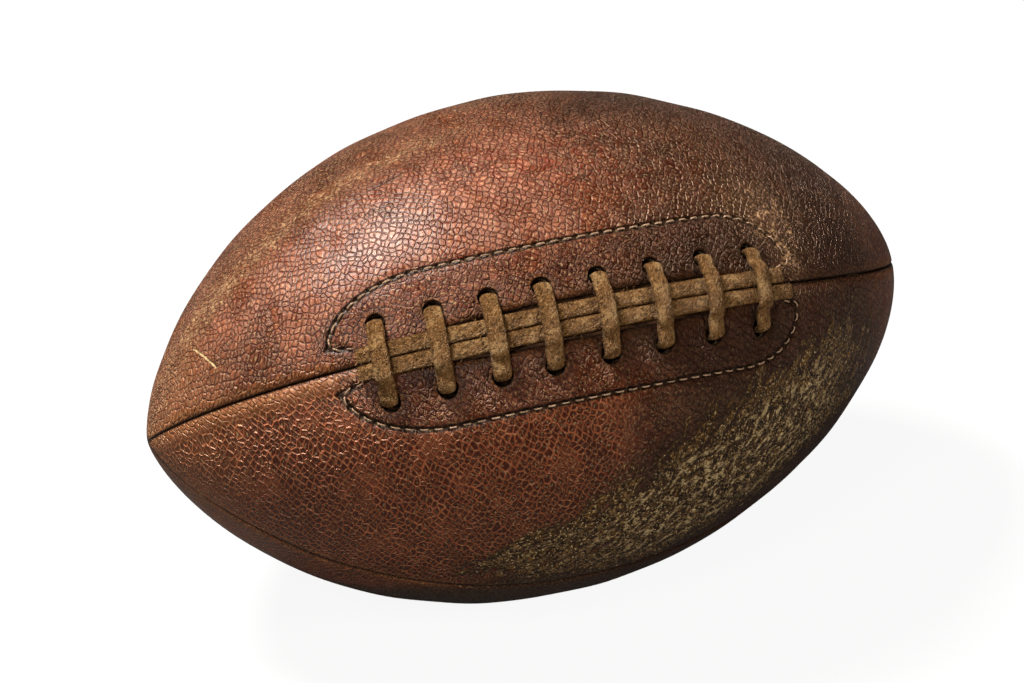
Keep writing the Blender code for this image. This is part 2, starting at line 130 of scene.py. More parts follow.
# Each panel: its two seams in degrees from the lace seam, whether the laces are at them,
# how long the roll of each edge is, and the size of the mesh's cells
PANELS = {
    "panel_upper_front": ((0.0, WIDE_PANEL), (True, False), (0.0040, 0.0030), 0.0008),
    "panel_lower_front": ((-NARROW_PANEL, 0.0), (False, True), (0.0022, 0.0040), 0.00072),
    "panel_back": ((WIDE_PANEL, 2 * WIDE_PANEL), (False, False), (0.0030, 0.0030), 0.00105),
    "panel_bottom": (
        (-NARROW_PANEL - WIDE_PANEL, -NARROW_PANEL),
        (False, False),
        (0.0030, 0.0022),
        0.00105,
    ),
}
ROLL_DIP = 0.45  # how deep a rolled edge dips, as a share of its length
ROLL_STEPS = 8
LEAST_FLANGE = 0.0002
INNER_STEPS = 9

# Depth and reach of what the stitches and lace holes pull into the leather
GROOVE = (0.0004, 0.0016)
STITCH_HOLE = (0.0005, 0.0009)
HOLE_RIM = (0.0004, 0.0009, 0.006)  # its depth, how fast it fades and where it ends
CUTTER = (0.004, -0.006, 40)  # a hole cutter's top and foot above the leather, and its sides

# The shallow dents: how many waves, their least and greatest length, and where they fade out
DENT_WAVES = 14
DENT_SIZES = (0.022, 0.075)
DENTS_CLEAR = (0.026, 0.045)
DENTS_FADE_RADIUS = 0.03

# The embossed grain
UNEVEN = 0.6  # how far the pebbles stray from an even lattice
COAT_RELIEF = 0.2  # how much of the relief shows in the coat over it
GRAIN_TURN = 0.6  # the embossed lattice lies aslant on the panels
PANEL_SPREAD = 700  # mm of hide from one panel's grain to the next one's
GRAIN_WANDER = (0.45, 9)  # how far the lattice wanders, over how many mm
WANDER_WAVES = 10
ABOUT_A_TURN = 6.28
PEBBLE_FLANK = 0.36  # how far in from a pebble's edge its top is reached

# Marks on the leather, in mm. The grass stain lies between two lines of (x, across) points
STAIN_TOP = ([-65, -23, 23, 68, 100], [-86, -66, -43, -24, -6])
STAIN_FOOT = ([-65, -37, 7, 54, 87, 115], [-89, -107, -112, -88, -62, -40])
# Spots: how strong, and the middle and width of each along x and across
DUST_SPOTS = (
    (0.9, 66, 18, 26, 16),
    (0.8, 71, 7, 5, 14),
    (0.5, -128, 14, 8, 14),
    (0.5, 25, 40, -37, 9),
)
RED_SPOTS = (
    (1.0, 6, 42, 60, 15),
    (1.0, 38, 22, 52, 20),
    (0.9, -78, 30, -40, 16),
    (0.7, -15, 35, -46, 13),
)
# The crack and the scratch: (x, across) of their ends
SCARS = (((-60, 65.5), (-49, 69)), ((-124, 24), (-121, 14)))
SCAR_FAR = 9.0
SCAR_REACH = 30


def linear(code):
    """A colour socket's value from an sRGB hex code."""
    parts = [int(code[i : i + 2], 16) / 255 for i in (1, 3, 5)]
    return tuple(p / 12.92 if p <= 0.04045 else ((p + 0.055) / 1.055) ** 2.4 for p in parts) + (1,)


def colour(name, code, description):
    """A colour that a user can change."""
    return FloatVectorProperty(
        name=name,
        description=description,
        default=linear(code),
        size=4,
        min=0,
        max=1,
        subtype="COLOR",
    )


def length(name, value, description):
    """A size in metres."""
    return FloatProperty(
        name=name, description=description, default=value, min=0, precision=5, unit="LENGTH"
    )


def power(name, value, description):
    """A lamp's strength in watts."""
    return FloatProperty(name=name, description=description, default=value, min=0, unit="POWER")


def angle(name, degrees, description):
    """An angle, kept in radians and shown in degrees."""
    return FloatProperty(
        name=name, description=description, default=math.radians(degrees), subtype="ANGLE"
    )


class FootballLeather(bpy.types.PropertyGroup):
    pebble_size: length("Pebble size", 0.0020, "Width of one pebble of the embossed grain")
    pebble_height: length("Pebble height", 0.00006, "How far a pebble stands out")
    rough_size: length("Rough grain size", 0.0019, "Width of the worn lumps round the lacing")
    hole_radius: length("Lace hole radius", 0.0034, "Radius of the punched lace holes")
    slackness: length("Slackness", 0.0007, "Depth of the shallow dents of the slack ball")
    brown: colour("Brown", "#622510", "The dye where it has kept its depth")
    russet: colour("Russet", "#80330f", "The dye where it has faded")
    red: colour("Red", "#86260c", "Patches with more red in them")
    mauve: colour("Mauve", "#864f3d", "The dulled finish of the upper panel")
    # The crease colour is dirt and also painted shade in the creases, folds and pits and round the
    # lace holes
    crease: colour("Crease", "#220b05", "Dirt in the creases of the grain")
    # The pit colour is the dye of the sunken cells with painted shade in them
    pit: colour("Pit", "#410f05", "The sunken cells where the ridges are bare")
    # The ridge colour is bare leather and also a painted highlight on the ridges
    pale_ridge_and_highlight: colour("Ridge", "#cf7448", "Ridges rubbed bare of dye")
    tan: colour("Rubbed tan", "#b06a34", "Bare leather at the lips of the seams")
    dust: colour("Dust", "#d9a473", "Dry earth in the grain")
    grass: colour("Grass stain", "#9a6a2c", "Grass and mud that has dried on")
    # The mud colour also paints shade in the seams, stitch grooves and stitch holes, and with the
    # grime
    mud: colour("Mud", "#221105", "The darkest mud under the grass stain")
    # Straw also paints glints, and a painted highlight on the tops of the mud's clods
    straw: colour("Straw", "#f0cc90", "Pale dry flecks in the stain")
    raw: colour("Raw edge", "#3b2415", "Cut edges and the inner side")


class FootballLacing(bpy.types.PropertyGroup):
    lace_width: length("Lace width", 0.0061, "Width of the lace across the seam")
    lace_thickness: length("Lace thickness", 0.0024, "Thickness of the lace")
    khaki: colour("Khaki", "#a87440", "The lace leather")
    worn: colour("Worn", "#dfae72", "Its rubbed high places")
    fleck: colour("Fleck", "#2c1c0d", "Dark specks and dirt")
    side: colour("Side", "#482a10", "Its cut sides")
    fibres: IntProperty(
        name="Fibres", description="Frayed fibres on the strips", default=160, min=0
    )
    fibre_length: length("Fibre length", 0.0014, "Length of a frayed fibre")
    stitch_pitch: length("Stitch pitch", 0.0046, "From one stitch to the next")
    strand_length: length("Strand length", 0.0030, "Thread that shows in one stitch")
    thread_radius: length("Thread radius", 0.00032, "Radius of the two plies together")
    thread: colour("Thread", "#e2b68e", "The waxed thread where it is rubbed")
    thread_dirt: colour("Thread dirt", "#2a190c", "Dirt between the plies")


class FootballStage(bpy.types.PropertyGroup):
    key: power("Key lamp", 18.5, "The large soft lamp overhead")
    side: power("Side lamp", 4.4, "The lamp at the left")
    front: power("Front lamp", 5.6, "The weak lamp in front, which only fills the shadows")
    sky: FloatProperty(name="Sky", description="Light from all round", default=0.015, min=0)
    mirrored: FloatProperty(
        name="Floor in reflections",
        description="How much of the floor's own white shows in gloss",
        default=0.01,
        min=0,
        max=1,
        subtype="FACTOR",
    )
    lens: FloatProperty(
        name="Lens", description="The camera's focal length", default=99.35, unit="CAMERA"
    )
    distance: length("Camera distance", 1.0, "From the ball's middle")
    azimuth: angle("Azimuth", -23.618, "The camera's turn round the ball")
    elevation: angle("Elevation", 34.377, "The camera's height as an angle")


# The ball's surface, for arrays of places


def profile(x):
    """Radius of the ball at x, and its outward normal there: its parts along X and outwards."""
    x = np.asarray(x, float)
    power = np.where(x < 0, LEFT_SHAPE[0], RIGHT_SHAPE[0])
    root = np.where(x < 0, LEFT_SHAPE[1], RIGHT_SHAPE[1])
    reach = np.abs(x) / HALF_LENGTH
    fall = 1 - reach**power
    radius = RADIUS * fall ** (1 / root)
    slope = radius * power * reach ** (power - 1) / (root * fall * HALF_LENGTH)
    steepness = np.hypot(1, slope)
    return radius, np.copysign(slope / steepness, x), 1 / steepness


def middle_height(x):
    """Height of the ball's slightly drooping axis at x."""
    return CENTRE_HEIGHT + ARCH * (1 - (x / HALF_LENGTH) ** 2)


def skin(x, turn, depth=0.0):
    """Points at turns in radians, so far below the surface. The floor flattens the leather."""
    radius, along, out = profile(x)
    arm = radius - depth * out
    z = middle_height(x) + arm * np.sin(turn)
    z = np.maximum(z, np.maximum(depth, 0))
    return np.stack(np.broadcast_arrays(x - depth * along, -arm * np.cos(turn), z), -1)


def seam_turn(x, from_lace_seam=0.0):
    """The turn, in radians, of the lace seam or of a seam so many degrees from it."""
    reach = np.asarray(x, float) / HALF_LENGTH
    twist = sum(part * reach ** (i + 1) for i, part in enumerate(SEAM_TWIST))
    return np.radians(LACE_SEAM + from_lace_seam + twist)


def beside_laces(x, across, height=0.0):
    """Points so far across from the lace seam, and so high above the leather."""
    x, across, height = np.broadcast_arrays(*(np.asarray(a, float) for a in (x, across, height)))
    return skin(x, seam_turn(x) + across / profile(x)[0], -height)


def opening(x):
    """Half the width of the lace opening at x."""
    low, high = OPENING_ENDS
    place = (2 * np.asarray(x, float) - low - high) / (high - low)
    return OPENING_HALF * np.maximum(0.0, 1 - place**4)


def lips(x):
    """Half the width between the turned-in lips, which stand a little off the strips."""
    return LIPS_APART * opening(x)


def soft_step(value, low, high):
    """From 0 at low to 1 at high, smoothly."""
    t = np.clip((value - low) / (high - low), 0, 1)
    return t * t * (3 - 2 * t)


def bump(value, middle, width):
    """1 in the middle, falling smoothly to 0 on both sides."""
    return np.exp(-(((value - middle) / width) ** 2))


def lengths_along(line):
    """How far along a line of points each of them is."""
    steps = np.linalg.norm(np.diff(line, axis=0), axis=1)
    return np.concatenate([[0], np.cumsum(steps)])


def evenly_along(line, count):
    """So many points equally far apart along a line of points."""
    run = lengths_along(line)
    at = np.linspace(0, run[-1], count)
    return np.stack([np.interp(at, run, column) for column in line.T], 1)


def lace_places():
    """x of each lace where it crosses the seam, and how far its upper hole leads its lower one."""
    places = []
    for i in range(LACES):
        pitch = LACE_PITCH[0] if i < 3 else LACE_PITCH[1]
        lean = LACE_LEAN[0] + (LACE_LEAN[1] - LACE_LEAN[0]) * i / (LACES - 1)
        places.append((FOURTH_LACE + (i - 3) * pitch, lean))
    return places


def hole_places():
    """(x, across) of the sixteen lace holes."""
    places = []
    for x, lean in lace_places():
        places.append((x + lean / 2, UPPER_HOLE + HOLE_SHIFT[0]))
        places.append((x - lean / 2, LOWER_HOLE + HOLE_SHIFT[1]))
    return places


def facing_width(x):
    """Distance from the lace seam to the stitches round the facing."""
    left = (FACING_LEFT[0] - x) / FACING_LEFT[1]
    right = (x - FACING_RIGHT[0]) / FACING_RIGHT[1]
    past = np.clip(np.maximum(left, right), 0, 1)
    return FACING_FOOT + (FACING_HALF - FACING_FOOT) * np.sqrt(1 - past**2)


def stitch_outline(side):
    """The stitched line round one facing as evenly spaced (x, across) points, and its length."""
    left = FACING_LEFT[0] - FACING_LEFT[1]
    right = FACING_RIGHT[0] + FACING_RIGHT[1]
    foot = math.asin((FACING_CORNER - FACING_FOOT) / (FACING_HALF - FACING_FOOT))
    turn = np.linspace(foot, math.pi / 2, 30)
    x_left = FACING_LEFT[0] - FACING_LEFT[1] * np.cos(turn)
    x_right = FACING_RIGHT[0] + FACING_RIGHT[1] * np.cos(turn[::-1])
    x = np.concatenate([[left + STITCH_RETURN[0]], x_left, x_right, [right - STITCH_RETURN[1]]])
    across = facing_width(x)
    across[[0, -1]] = STITCH_RETURN[2]
    line = np.stack([x, side * across], 1)
    return evenly_along(line, LINE_POINTS), lengths_along(line)[-1]


def stitch_count(total, pitch):
    """How many stitches a line so long takes, one at each end."""
    return round(total / pitch) + 1


def nearest_on_outline(x, across, side):
    """How far outside the stitched line each place is, and how far along the line."""
    line, total = stitch_outline(side)
    step = total / (len(line) - 1)
    ahead = np.gradient(line, axis=0) / step
    outside = np.full(x.shape, FAR)
    run = np.zeros(x.shape)
    low, high, width = NEAR_FACING
    near = (np.abs(across) < width) & (x > low) & (x < high) & (np.sign(across) == side)
    place = np.stack([x[near], across[near]], 1)
    best = np.hypot(*(place[:, None, :] - line[None]).transpose(2, 0, 1)).argmin(1)
    offset = place - line[best]
    along = (offset * ahead[best]).sum(1)
    beside = side * (ahead[best, 0] * offset[:, 1] - ahead[best, 1] * offset[:, 0])
    past_end = np.abs(along) > step
    outside[near] = np.where(past_end, np.copysign(np.hypot(along, beside), beside), beside)
    run[near] = best * step + along
    return outside, run, total


# Meshes


def new_piece(name, points, faces):
    """A smooth mesh object in the scene."""
    mesh = bpy.data.meshes.new(name)
    mesh.from_pydata(points.tolist(), [], faces)
    mesh.update()
    mesh.shade_smooth()
    made = bpy.data.objects.new(name, mesh)
    bpy.context.scene.collection.objects.link(made)
    return made


def loft(name, rings):
    """A closed bar through rings of points: rings is (rings, points, 3)."""
    rows, count = rings.shape[:2]
    i, j = np.meshgrid(np.arange(rows - 1), np.arange(count), indexing="ij")
    k = (j + 1) % count
    quads = np.stack(
        [i * count + j, (i + 1) * count + j, (i + 1) * count + k, i * count + k], -1
    ).reshape(-1, 4)
    faces = quads.tolist()
    faces.append(list(range(count)))
    faces.append(list(range((rows - 1) * count, rows * count))[::-1])
    return new_piece(name, rings.reshape(-1, 3), faces)


def store(piece, name, values):
    """Writes a point attribute: one number or one vector for each vertex."""
    values = np.asarray(values, np.float32)
    kind, key = ("FLOAT_VECTOR", "vector") if values.ndim == 2 else ("FLOAT", "value")
    piece.data.attributes.new(name, kind, "POINT").data.foreach_set(key, values.ravel())


def read(piece, name):
    """The numbers of a point attribute."""
    values = np.zeros(len(piece.data.vertices), np.float32)
    piece.data.attributes[name].data.foreach_get("value", values)
    return values


def points_of(piece):
    """The places of the vertices."""
    values = np.zeros(len(piece.data.vertices) * 3, np.float32)
    piece.data.vertices.foreach_get("co", values)
    return values.reshape(-1, 3).astype(float)


def settle(piece):
    """The piece as its modifiers leave it, as a plain mesh of the same name."""
    graph = bpy.context.evaluated_depsgraph_get()
    mesh = bpy.data.meshes.new_from_object(piece.evaluated_get(graph))
    name = piece.name
    bpy.data.objects.remove(piece)
    made = bpy.data.objects.new(name, mesh)
    made.name = name
    bpy.context.scene.collection.objects.link(made)
    return made


def hand_over(piece, node):
    """The finished piece rides on the ball in place of its solid."""
    piece.name = "visual_" + node
    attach(piece, "root")
    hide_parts(node)


# Nodes


def add_node(tree, kind, inputs=None, **settings):
    """Adds a node with its settings. An input takes a value, a socket, a node's first output, or
    a list of nodes where one socket joins them."""
    made = tree.nodes.new(kind)
    for key, value in settings.items():
        setattr(made, key, value)
    for key, value in (inputs or {}).items():
        if isinstance(key, int):
            socket = made.inputs[key]
        else:
            socket = next(s for s in made.inputs if s.name == key and s.enabled)
        for given in value if isinstance(value, list) else [value]:
            if isinstance(given, bpy.types.Node):
                given = next(s for s in given.outputs if s.enabled)
            if isinstance(given, bpy.types.NodeSocket):
                tree.links.new(given, socket)
            else:
                socket.default_value = given
    return made


def new_tree(name, sizes):
    """A geometry tree that takes a mesh and named sizes, and the sockets that bring them in."""
    tree = bpy.data.node_groups.new(name, "GeometryNodeTree")
    tree.interface.new_socket("Mesh", in_out="INPUT", socket_type="NodeSocketGeometry")
    for label, kind in sizes.items():
        tree.interface.new_socket(label, in_out="INPUT", socket_type="NodeSocket" + kind)
    tree.interface.new_socket("Mesh", in_out="OUTPUT", socket_type="NodeSocketGeometry")
    return tree, tree.nodes.new("NodeGroupInput").outputs


def end_tree(tree, mesh, material):
    """Ends a geometry tree: instances become real faces and get their material."""
    whole = add_node(tree, "GeometryNodeRealizeInstances", {"Geometry": mesh})
    painted = add_node(
        tree, "GeometryNodeSetMaterial", {"Geometry": whole, "Material": material}
    )
    add_node(tree, "NodeGroupOutput", {"Mesh": painted})
    return tree


def run_tree(piece, tree, values):
    """Runs a geometry tree on a piece with these values, and returns the plain result."""
    modifier = piece.modifiers.new(tree.name, "NODES")
    modifier.node_group = tree
    for item in tree.interface.items_tree:
        if item.in_out == "INPUT" and item.name in values:
            modifier[item.identifier] = values[item.name]
    return settle(piece)


def new_material(name):
    """A material and its empty tree."""
    made = bpy.data.materials.new(name)
    made.use_nodes = True
    made.node_tree.nodes.clear()
    return made, made.node_tree


def place_in_mm(tree):
    """The piece's own coordinates, in millimetres."""
    place = add_node(tree, "ShaderNodeTexCoord").outputs["Object"]
    return add_node(
        tree, "ShaderNodeVectorMath", {"Vector": place, "Scale": 1 / MM}, operation="SCALE"
    )


def fill_surface(tree, vector, sources, patterns, sums, masks, layers, roughness, **values):
    """Builds a surface from tables, and ends its tree. Over a coat the relief is shallower.

    sources are sockets by name. To them come patterns, each a texture node of a size in mm
    with its turn, stretch, inputs and settings, and sums, weighted sources added up. A mask
    goes smoothly from 0 to 1 as its source goes from one value to another. Each layer has an
    amount and the masks that scale it: a colour covers what is below it, while "rough" and
    "height", which is in mm, are added up.
    """
    sources = dict(sources)
    for name, (kind, size, turn, stretch, inputs, settings) in patterns.items():
        laid = add_node(
            tree,
            "ShaderNodeMapping",
            {"Vector": vector, "Rotation": (0, 0, turn), "Scale": (size * stretch, size, size)},
            vector_type="TEXTURE",
        )
        made = add_node(tree, kind, {"Vector": laid, "Scale": 1.0, **inputs}, **settings)
        sources[name] = made.outputs["Color" if name.endswith("tone") else 0]
    for name, parts in sums.items():
        total = 0.0
        for part, weight in parts:
            total = add_node(
                tree,
                "ShaderNodeMath",
                {0: sources[part], 1: weight, 2: total},
                operation="MULTIPLY_ADD",
            )
        sources[name] = total
    shapes = {}
    for name, (source, low, high) in masks.items():
        shapes[name] = add_node(
            tree,
            "ShaderNodeMapRange",
            {"Value": sources[source], "From Min": low, "From Max": high},
            interpolation_type="SMOOTHSTEP",
        )
    body, height = (1, 1, 1, 1), 0.0
    for what, amount, names in layers:
        share = amount
        for name in names.split():
            share = add_node(
                tree, "ShaderNodeMath", {0: shapes[name], 1: share}, operation="MULTIPLY"
            )
        if what == "rough":
            roughness = add_node(
                tree, "ShaderNodeMath", {0: roughness, 1: share}, operation="ADD"
            )
        elif what == "height":
            height = add_node(tree, "ShaderNodeMath", {0: height, 1: share}, operation="ADD")
        else:
            body = add_node(
                tree, "ShaderNodeMix", {"Factor": share, "A": body, "B": what}, data_type="RGBA"
            )
    relief = add_node(tree, "ShaderNodeBump", {"Distance": MM, "Height": height})
    values = {"Base Color": body, "Roughness": roughness, "Normal": relief, **values}
    if "Coat Weight" in values:
        level = add_node(tree, "ShaderNodeNewGeometry").outputs["Normal"]
        between = add_node(
            tree,
            "ShaderNodeMix",
            {"Factor": COAT_RELIEF, "A": level, "B": relief},
            data_type="VECTOR",
        )
        values["Coat Normal"] = add_node(
            tree, "ShaderNodeVectorMath", {"Vector": between}, operation="NORMALIZE"
        )
    shader = add_node(tree, "ShaderNodeBsdfPrincipled", values)
    add_node(tree, "ShaderNodeOutputMaterial", {"Surface": shader})


# The leather panels


def spots_at(x, across, spots):
    """Soft round spots added up, x and across in mm."""
    return sum(
        strength * bump(x, at_x, long) * bump(across, at_across, wide)
        for strength, at_x, long, at_across, wide in spots
    )


def marks_at(x, across, turn):
    """What the ball's use has left on it, x and across in mm: (grass and mud, dust, red)."""
    sharp = 1 - soft_step(x, -30, -10)
    stain = soft_step(np.interp(x, *STAIN_TOP) - across, -12 + 10 * sharp, 18 - 13 * sharp)
    stain *= soft_step(across - np.interp(x, *STAIN_FOOT), -6, 16) * soft_step(x, -66, -58)
    stain *= (1 - soft_step(x, 66, 130)) * (0.75 + 0.25 * soft_step(x, -25, 20))
    # Dust lies in a streak along the top and along the rim behind it, and in spots
    radius = profile(x * MM)[0] / MM
    streak = bump((turn - math.radians(97)) * radius, 0, 7)
    streak *= soft_step(x, -138, -120) * (1 - soft_step(x, -45, 5))
    rim = 0.6 * bump((turn - math.radians(112)) * radius, 0, 14) * (1 - soft_step(x, 0, 60))
    dust = np.clip(streak + rim + spots_at(x, across, DUST_SPOTS), 0, 1)
    red = np.clip(spots_at(x, across, RED_SPOTS), 0, 1)
    return np.stack([stain, dust, red], 1)


def zones_at(x, across, turn):
    """The leather's state, x and across in mm: (coarse worn grain, bare ridges, grime and painted
    shade).
    """
    half = facing_width(x * MM) / MM
    radius = profile(x * MM)[0] / MM
    # The grain is worn coarse on the facings, below them at the right, at the right end and
    # along the rim on top
    facing = soft_step(half - np.abs(across), -0.5, 2.0) * ((x > -90) & (x < 70))
    facing = np.maximum(facing, 0.9 * soft_step(x, -25, 18) * soft_step(-across, 4, 14))
    facing = np.maximum(facing, 0.8 * soft_step(x, 45, 85))
    rim = soft_step((turn - math.radians(90)) * radius, -10, 6)
    rim *= 1 - soft_step((turn - math.radians(128)) * radius, 0, 20)
    facing = np.maximum(facing, 0.75 * rim)
    # The dye is gone from the ridges below the lacing at the left
    ridges = soft_step(-across, 2, 10) * (1 - soft_step(x, -15, 25)) * (1 - facing)
    ridges *= 1 - soft_step(-across, 85, 105)
    # Grime and painted shade darken the right half, the lower left, the underside and the left end
    # of the seam
    grime_and_shade = 0.82 * soft_step(x, -35, 45) * (1 - 0.6 * soft_step(x, 100, 130))
    grime_and_shade += 0.42 * soft_step(-across, 30, 65) * soft_step(x, -95, -40)
    grime_and_shade += 0.9 * soft_step(-across, 88, 118)
    grime_and_shade += 0.6 * bump(across, -3, 15) * soft_step(x, -88, -60) * (1 - soft_step(x, 55, 75))
    return np.stack([facing, ridges, np.clip(grime_and_shade, 0, 1)], 1)


def scars_at(x, across):
    """How far beside a crack or scratch, how far past its ends, and which one it is, in mm."""
    beside, past = np.full(x.shape, SCAR_FAR), np.full(x.shape, SCAR_FAR)
    which = np.zeros(x.shape)
    for i, ((x0, a0), (x1, a1)) in enumerate(SCARS):
        long = math.hypot(x1 - x0, a1 - a0)
        dx, da = (x1 - x0) / long, (a1 - a0) / long
        along = (x - x0) * dx + (across - a0) * da
        close = np.hypot(x - x0, across - a0) < SCAR_REACH
        beside = np.where(close, (across - a0) * dx - (x - x0) * da, beside)
        past = np.where(close, np.maximum(-along, along - long), past)
        which = np.where(close, i, which)
    return np.stack([beside, past, which], 1)


def stitch_pull(x, across, pitch):
    """How far outside the stitched lines, the stitches counted along them, and the pull's depth."""
    outside = np.full(x.shape, FAR)
    phase = np.zeros(x.shape)
    for side in (1, -1):
        gap, run, total = nearest_on_outline(x, across, side)
        closer = np.abs(gap) < np.abs(outside)
        outside = np.where(closer, gap, outside)
        step = total / (stitch_count(total, pitch) - 1)
        phase = np.where(closer, run / step, phase)
    hole = 0.5 - 0.5 * np.cos(2 * math.pi * phase)
    depth = GROOVE[0] * bump(outside, 0, GROOVE[1])
    depth = depth + STITCH_HOLE[0] * hole * bump(outside, 0, STITCH_HOLE[1])
    return outside, phase, depth


def slack_dents(x, turn):
    """The shallow uneven dents of a ball without its full pressure, from 0 to 1."""
    waves = np.random.default_rng(7)
    total = 0
    for _ in range(DENT_WAVES):
        size = waves.uniform(*DENT_SIZES)
        way = waves.uniform(0, 2 * math.pi)
        start = waves.uniform(0, 2 * math.pi)
        round_ball = np.round(RADIUS * math.sin(way) * 2 * math.pi / size)
        total = total + np.sin(x * math.cos(way) * 2 * math.pi / size + turn * round_ball + start)
    return np.clip(0.5 + total / DENT_WAVES, 0, 1)


def panel_rows(cell):
    """x of the rows, equally far apart along the ball's outline."""
    x = -TIP * HALF_LENGTH * np.cos(np.linspace(0, math.pi, OUTLINE_STEPS))
    line = np.stack([x, profile(x)[0]], 1)
    count = int(lengths_along(line)[-1] / cell) + 1
    return evenly_along(line, count)[:, :1]


def outline_run(x):
    """Length along the ball's outline from its middle to x."""
    table = -HALF_LENGTH * np.cos(np.linspace(0, math.pi, OUTLINE_STEPS)[1:-1])
    run = lengths_along(np.stack([table, profile(table)[0]], 1))
    return np.interp(x, table, run) - np.interp(0, table, run)


def edge_columns(x, at_laces, roll, squeeze):
    """Distances from the seam, and depths, of one turned-in edge: flange and roll, then inside."""
    start = SEAM_GAP / 2 + (lips(x) if at_laces else 0)
    closed = (1 - opening(x) / OPENING_HALF) ** 4 if at_laces else 1
    dip = roll * ROLL_DIP * squeeze
    flange = LEATHER + (FLANGE_DEPTH - LEATHER) * squeeze * closed
    flange = np.maximum(flange, dip + LEAST_FLANGE)
    turn = np.linspace(0, math.pi / 2, ROLL_STEPS)[None]
    outer = start + roll * squeeze * (1 - np.cos(turn))
    outer_depth = dip * (1 - np.sin(turn))
    distance = np.concatenate([np.broadcast_to(start, x.shape)] * 2 + [outer], 1)
    depth = np.concatenate([flange * np.ones_like(x), (flange + dip) / 2, outer_depth], 1)
    inner = np.concatenate(
        [start + FLANGE_THICKNESS * squeeze, start + (FLANGE_THICKNESS + GAP) * squeeze], 1
    )
    inner_depth = np.concatenate([flange * np.ones_like(x), np.full(x.shape, LEATHER)], 1)
    return distance, depth, inner, inner_depth


def panel_mesh(name, look, lacing):
    """The panel as one closed wall: over the leather, round its turned-in edges and back inside."""
    seams, laced, rolls, cell = PANELS[name]
    x = panel_rows(cell)
    radius = profile(x)[0]
    squeeze = np.clip(math.radians(seams[1] - seams[0]) * radius / FULL_WIDTH, LEAST_SQUEEZE, 1)
    left, right = (
        edge_columns(x, at_laces, roll, squeeze) for at_laces, roll in zip(laced, rolls)
    )
    begin = seam_turn(x, seams[0])
    end = seam_turn(x, seams[1])
    left_turn = begin + left[0] / radius
    right_turn = (end - right[0] / radius)[:, ::-1]
    low, high = left_turn[:, -1:], right_turn[:, :1]
    columns = int(math.radians(seams[1] - seams[0]) * RADIUS / cell)
    share = np.linspace(0, 1, columns + 2)[None, 1:-1]
    middle = low + (high - low) * share
    inside_low, inside_high = begin + left[2] / radius, end - right[2] / radius
    back = np.linspace(1, 0, INNER_STEPS)[None, 1:-1]
    inside = inside_low[:, -1:] + (inside_high[:, -1:] - inside_low[:, -1:]) * back
    turn = np.concatenate(
        [left_turn, middle, right_turn, inside_high, inside, inside_low[:, ::-1]], 1
    )
    depth = np.concatenate(
        [
            left[1],
            np.zeros_like(middle),
            right[1][:, ::-1],
            right[3],
            np.full(inside.shape, LEATHER),
            left[3][:, ::-1],
        ],
        1,
    )
    outer = np.zeros(turn.shape[1])
    outer[2 : left_turn.shape[1] + columns + right_turn.shape[1] - 2] = 1
    outer = np.broadcast_to(outer, turn.shape)
    wide = np.broadcast_to(x, turn.shape)
    across = (turn - seam_turn(x)) * radius
    pull = stitch_pull(wide.ravel(), across.ravel(), lacing.stitch_pitch)[2].reshape(turn.shape)
    # The dents keep clear of the lacing and die out towards the ends
    clear = soft_step(np.abs(across), *DENTS_CLEAR) if any(laced) else np.ones_like(across)
    clear = clear * np.minimum(1, radius / DENTS_FADE_RADIUS)
    sink = pull + look.slackness * slack_dents(wide, turn) * clear
    rim_depth, rim_fall, rim_reach = HOLE_RIM
    for hole_x, hole_across in hole_places():
        rim = np.hypot(wide - hole_x, across - hole_across) - look.hole_radius
        sink = sink + rim_depth * np.exp(-np.maximum(rim, 0) / rim_fall) * (rim < rim_reach)
    piece = loft(name + "_form", skin(x, turn, depth + sink * outer))
    store(piece, "finish", outer.ravel())
    return piece


def punch_holes(piece, side, radius):
    """Cuts the eight lace holes of one side, square to the leather."""
    top_height, foot_height, count = CUTTER
    rings, faces = [], []
    turn = np.linspace(0, 2 * math.pi, count, endpoint=False)
    for x, across in hole_places():
        if across * side < 0:
            continue
        top = beside_laces(x, across, top_height)
        foot = beside_laces(x, across, foot_height)
        out = (top - foot) / np.linalg.norm(top - foot)
        along = np.cross(out, np.cross((1.0, 0.0, 0.0), out))
        along /= np.linalg.norm(along)
        other = np.cross(out, along)
        ring = radius * (np.cos(turn)[:, None] * along + np.sin(turn)[:, None] * other)
        low = [len(rings) * count + i for i in range(count)]
        high = [i + count for i in low]
        rings += [foot + ring, top + ring]
        faces += [low[::-1], high]
        for i in range(count):
            k = (i + 1) % count
            faces.append([low[i], low[k], high[k], high[i]])
    cutter = new_piece("hole_cutters", np.concatenate(rings), faces)
    modifier = piece.modifiers.new("lace holes", "BOOLEAN")
    modifier.operation = "DIFFERENCE"
    modifier.solver = "EXACT"
    modifier.object = cutter
    made = settle(piece)
    bpy.data.objects.remove(cutter)
    return made


def wandering(u, v, seed):
    """A smooth uneven shift of the lattice at each place, in mm."""
    far, size = GRAIN_WANDER
    source = np.random.default_rng(seed)
    total = np.zeros(u.shape)
    for _ in range(WANDER_WAVES):
        wave = size * source.uniform(0.7, 1.5)
        way, start = source.uniform(0, ABOUT_A_TURN), source.uniform(0, ABOUT_A_TURN)
        run = u * math.cos(way) + v * math.sin(way)
        total += np.sin(run * ABOUT_A_TURN / wave + start)
    return far * total / math.sqrt(WANDER_WAVES)


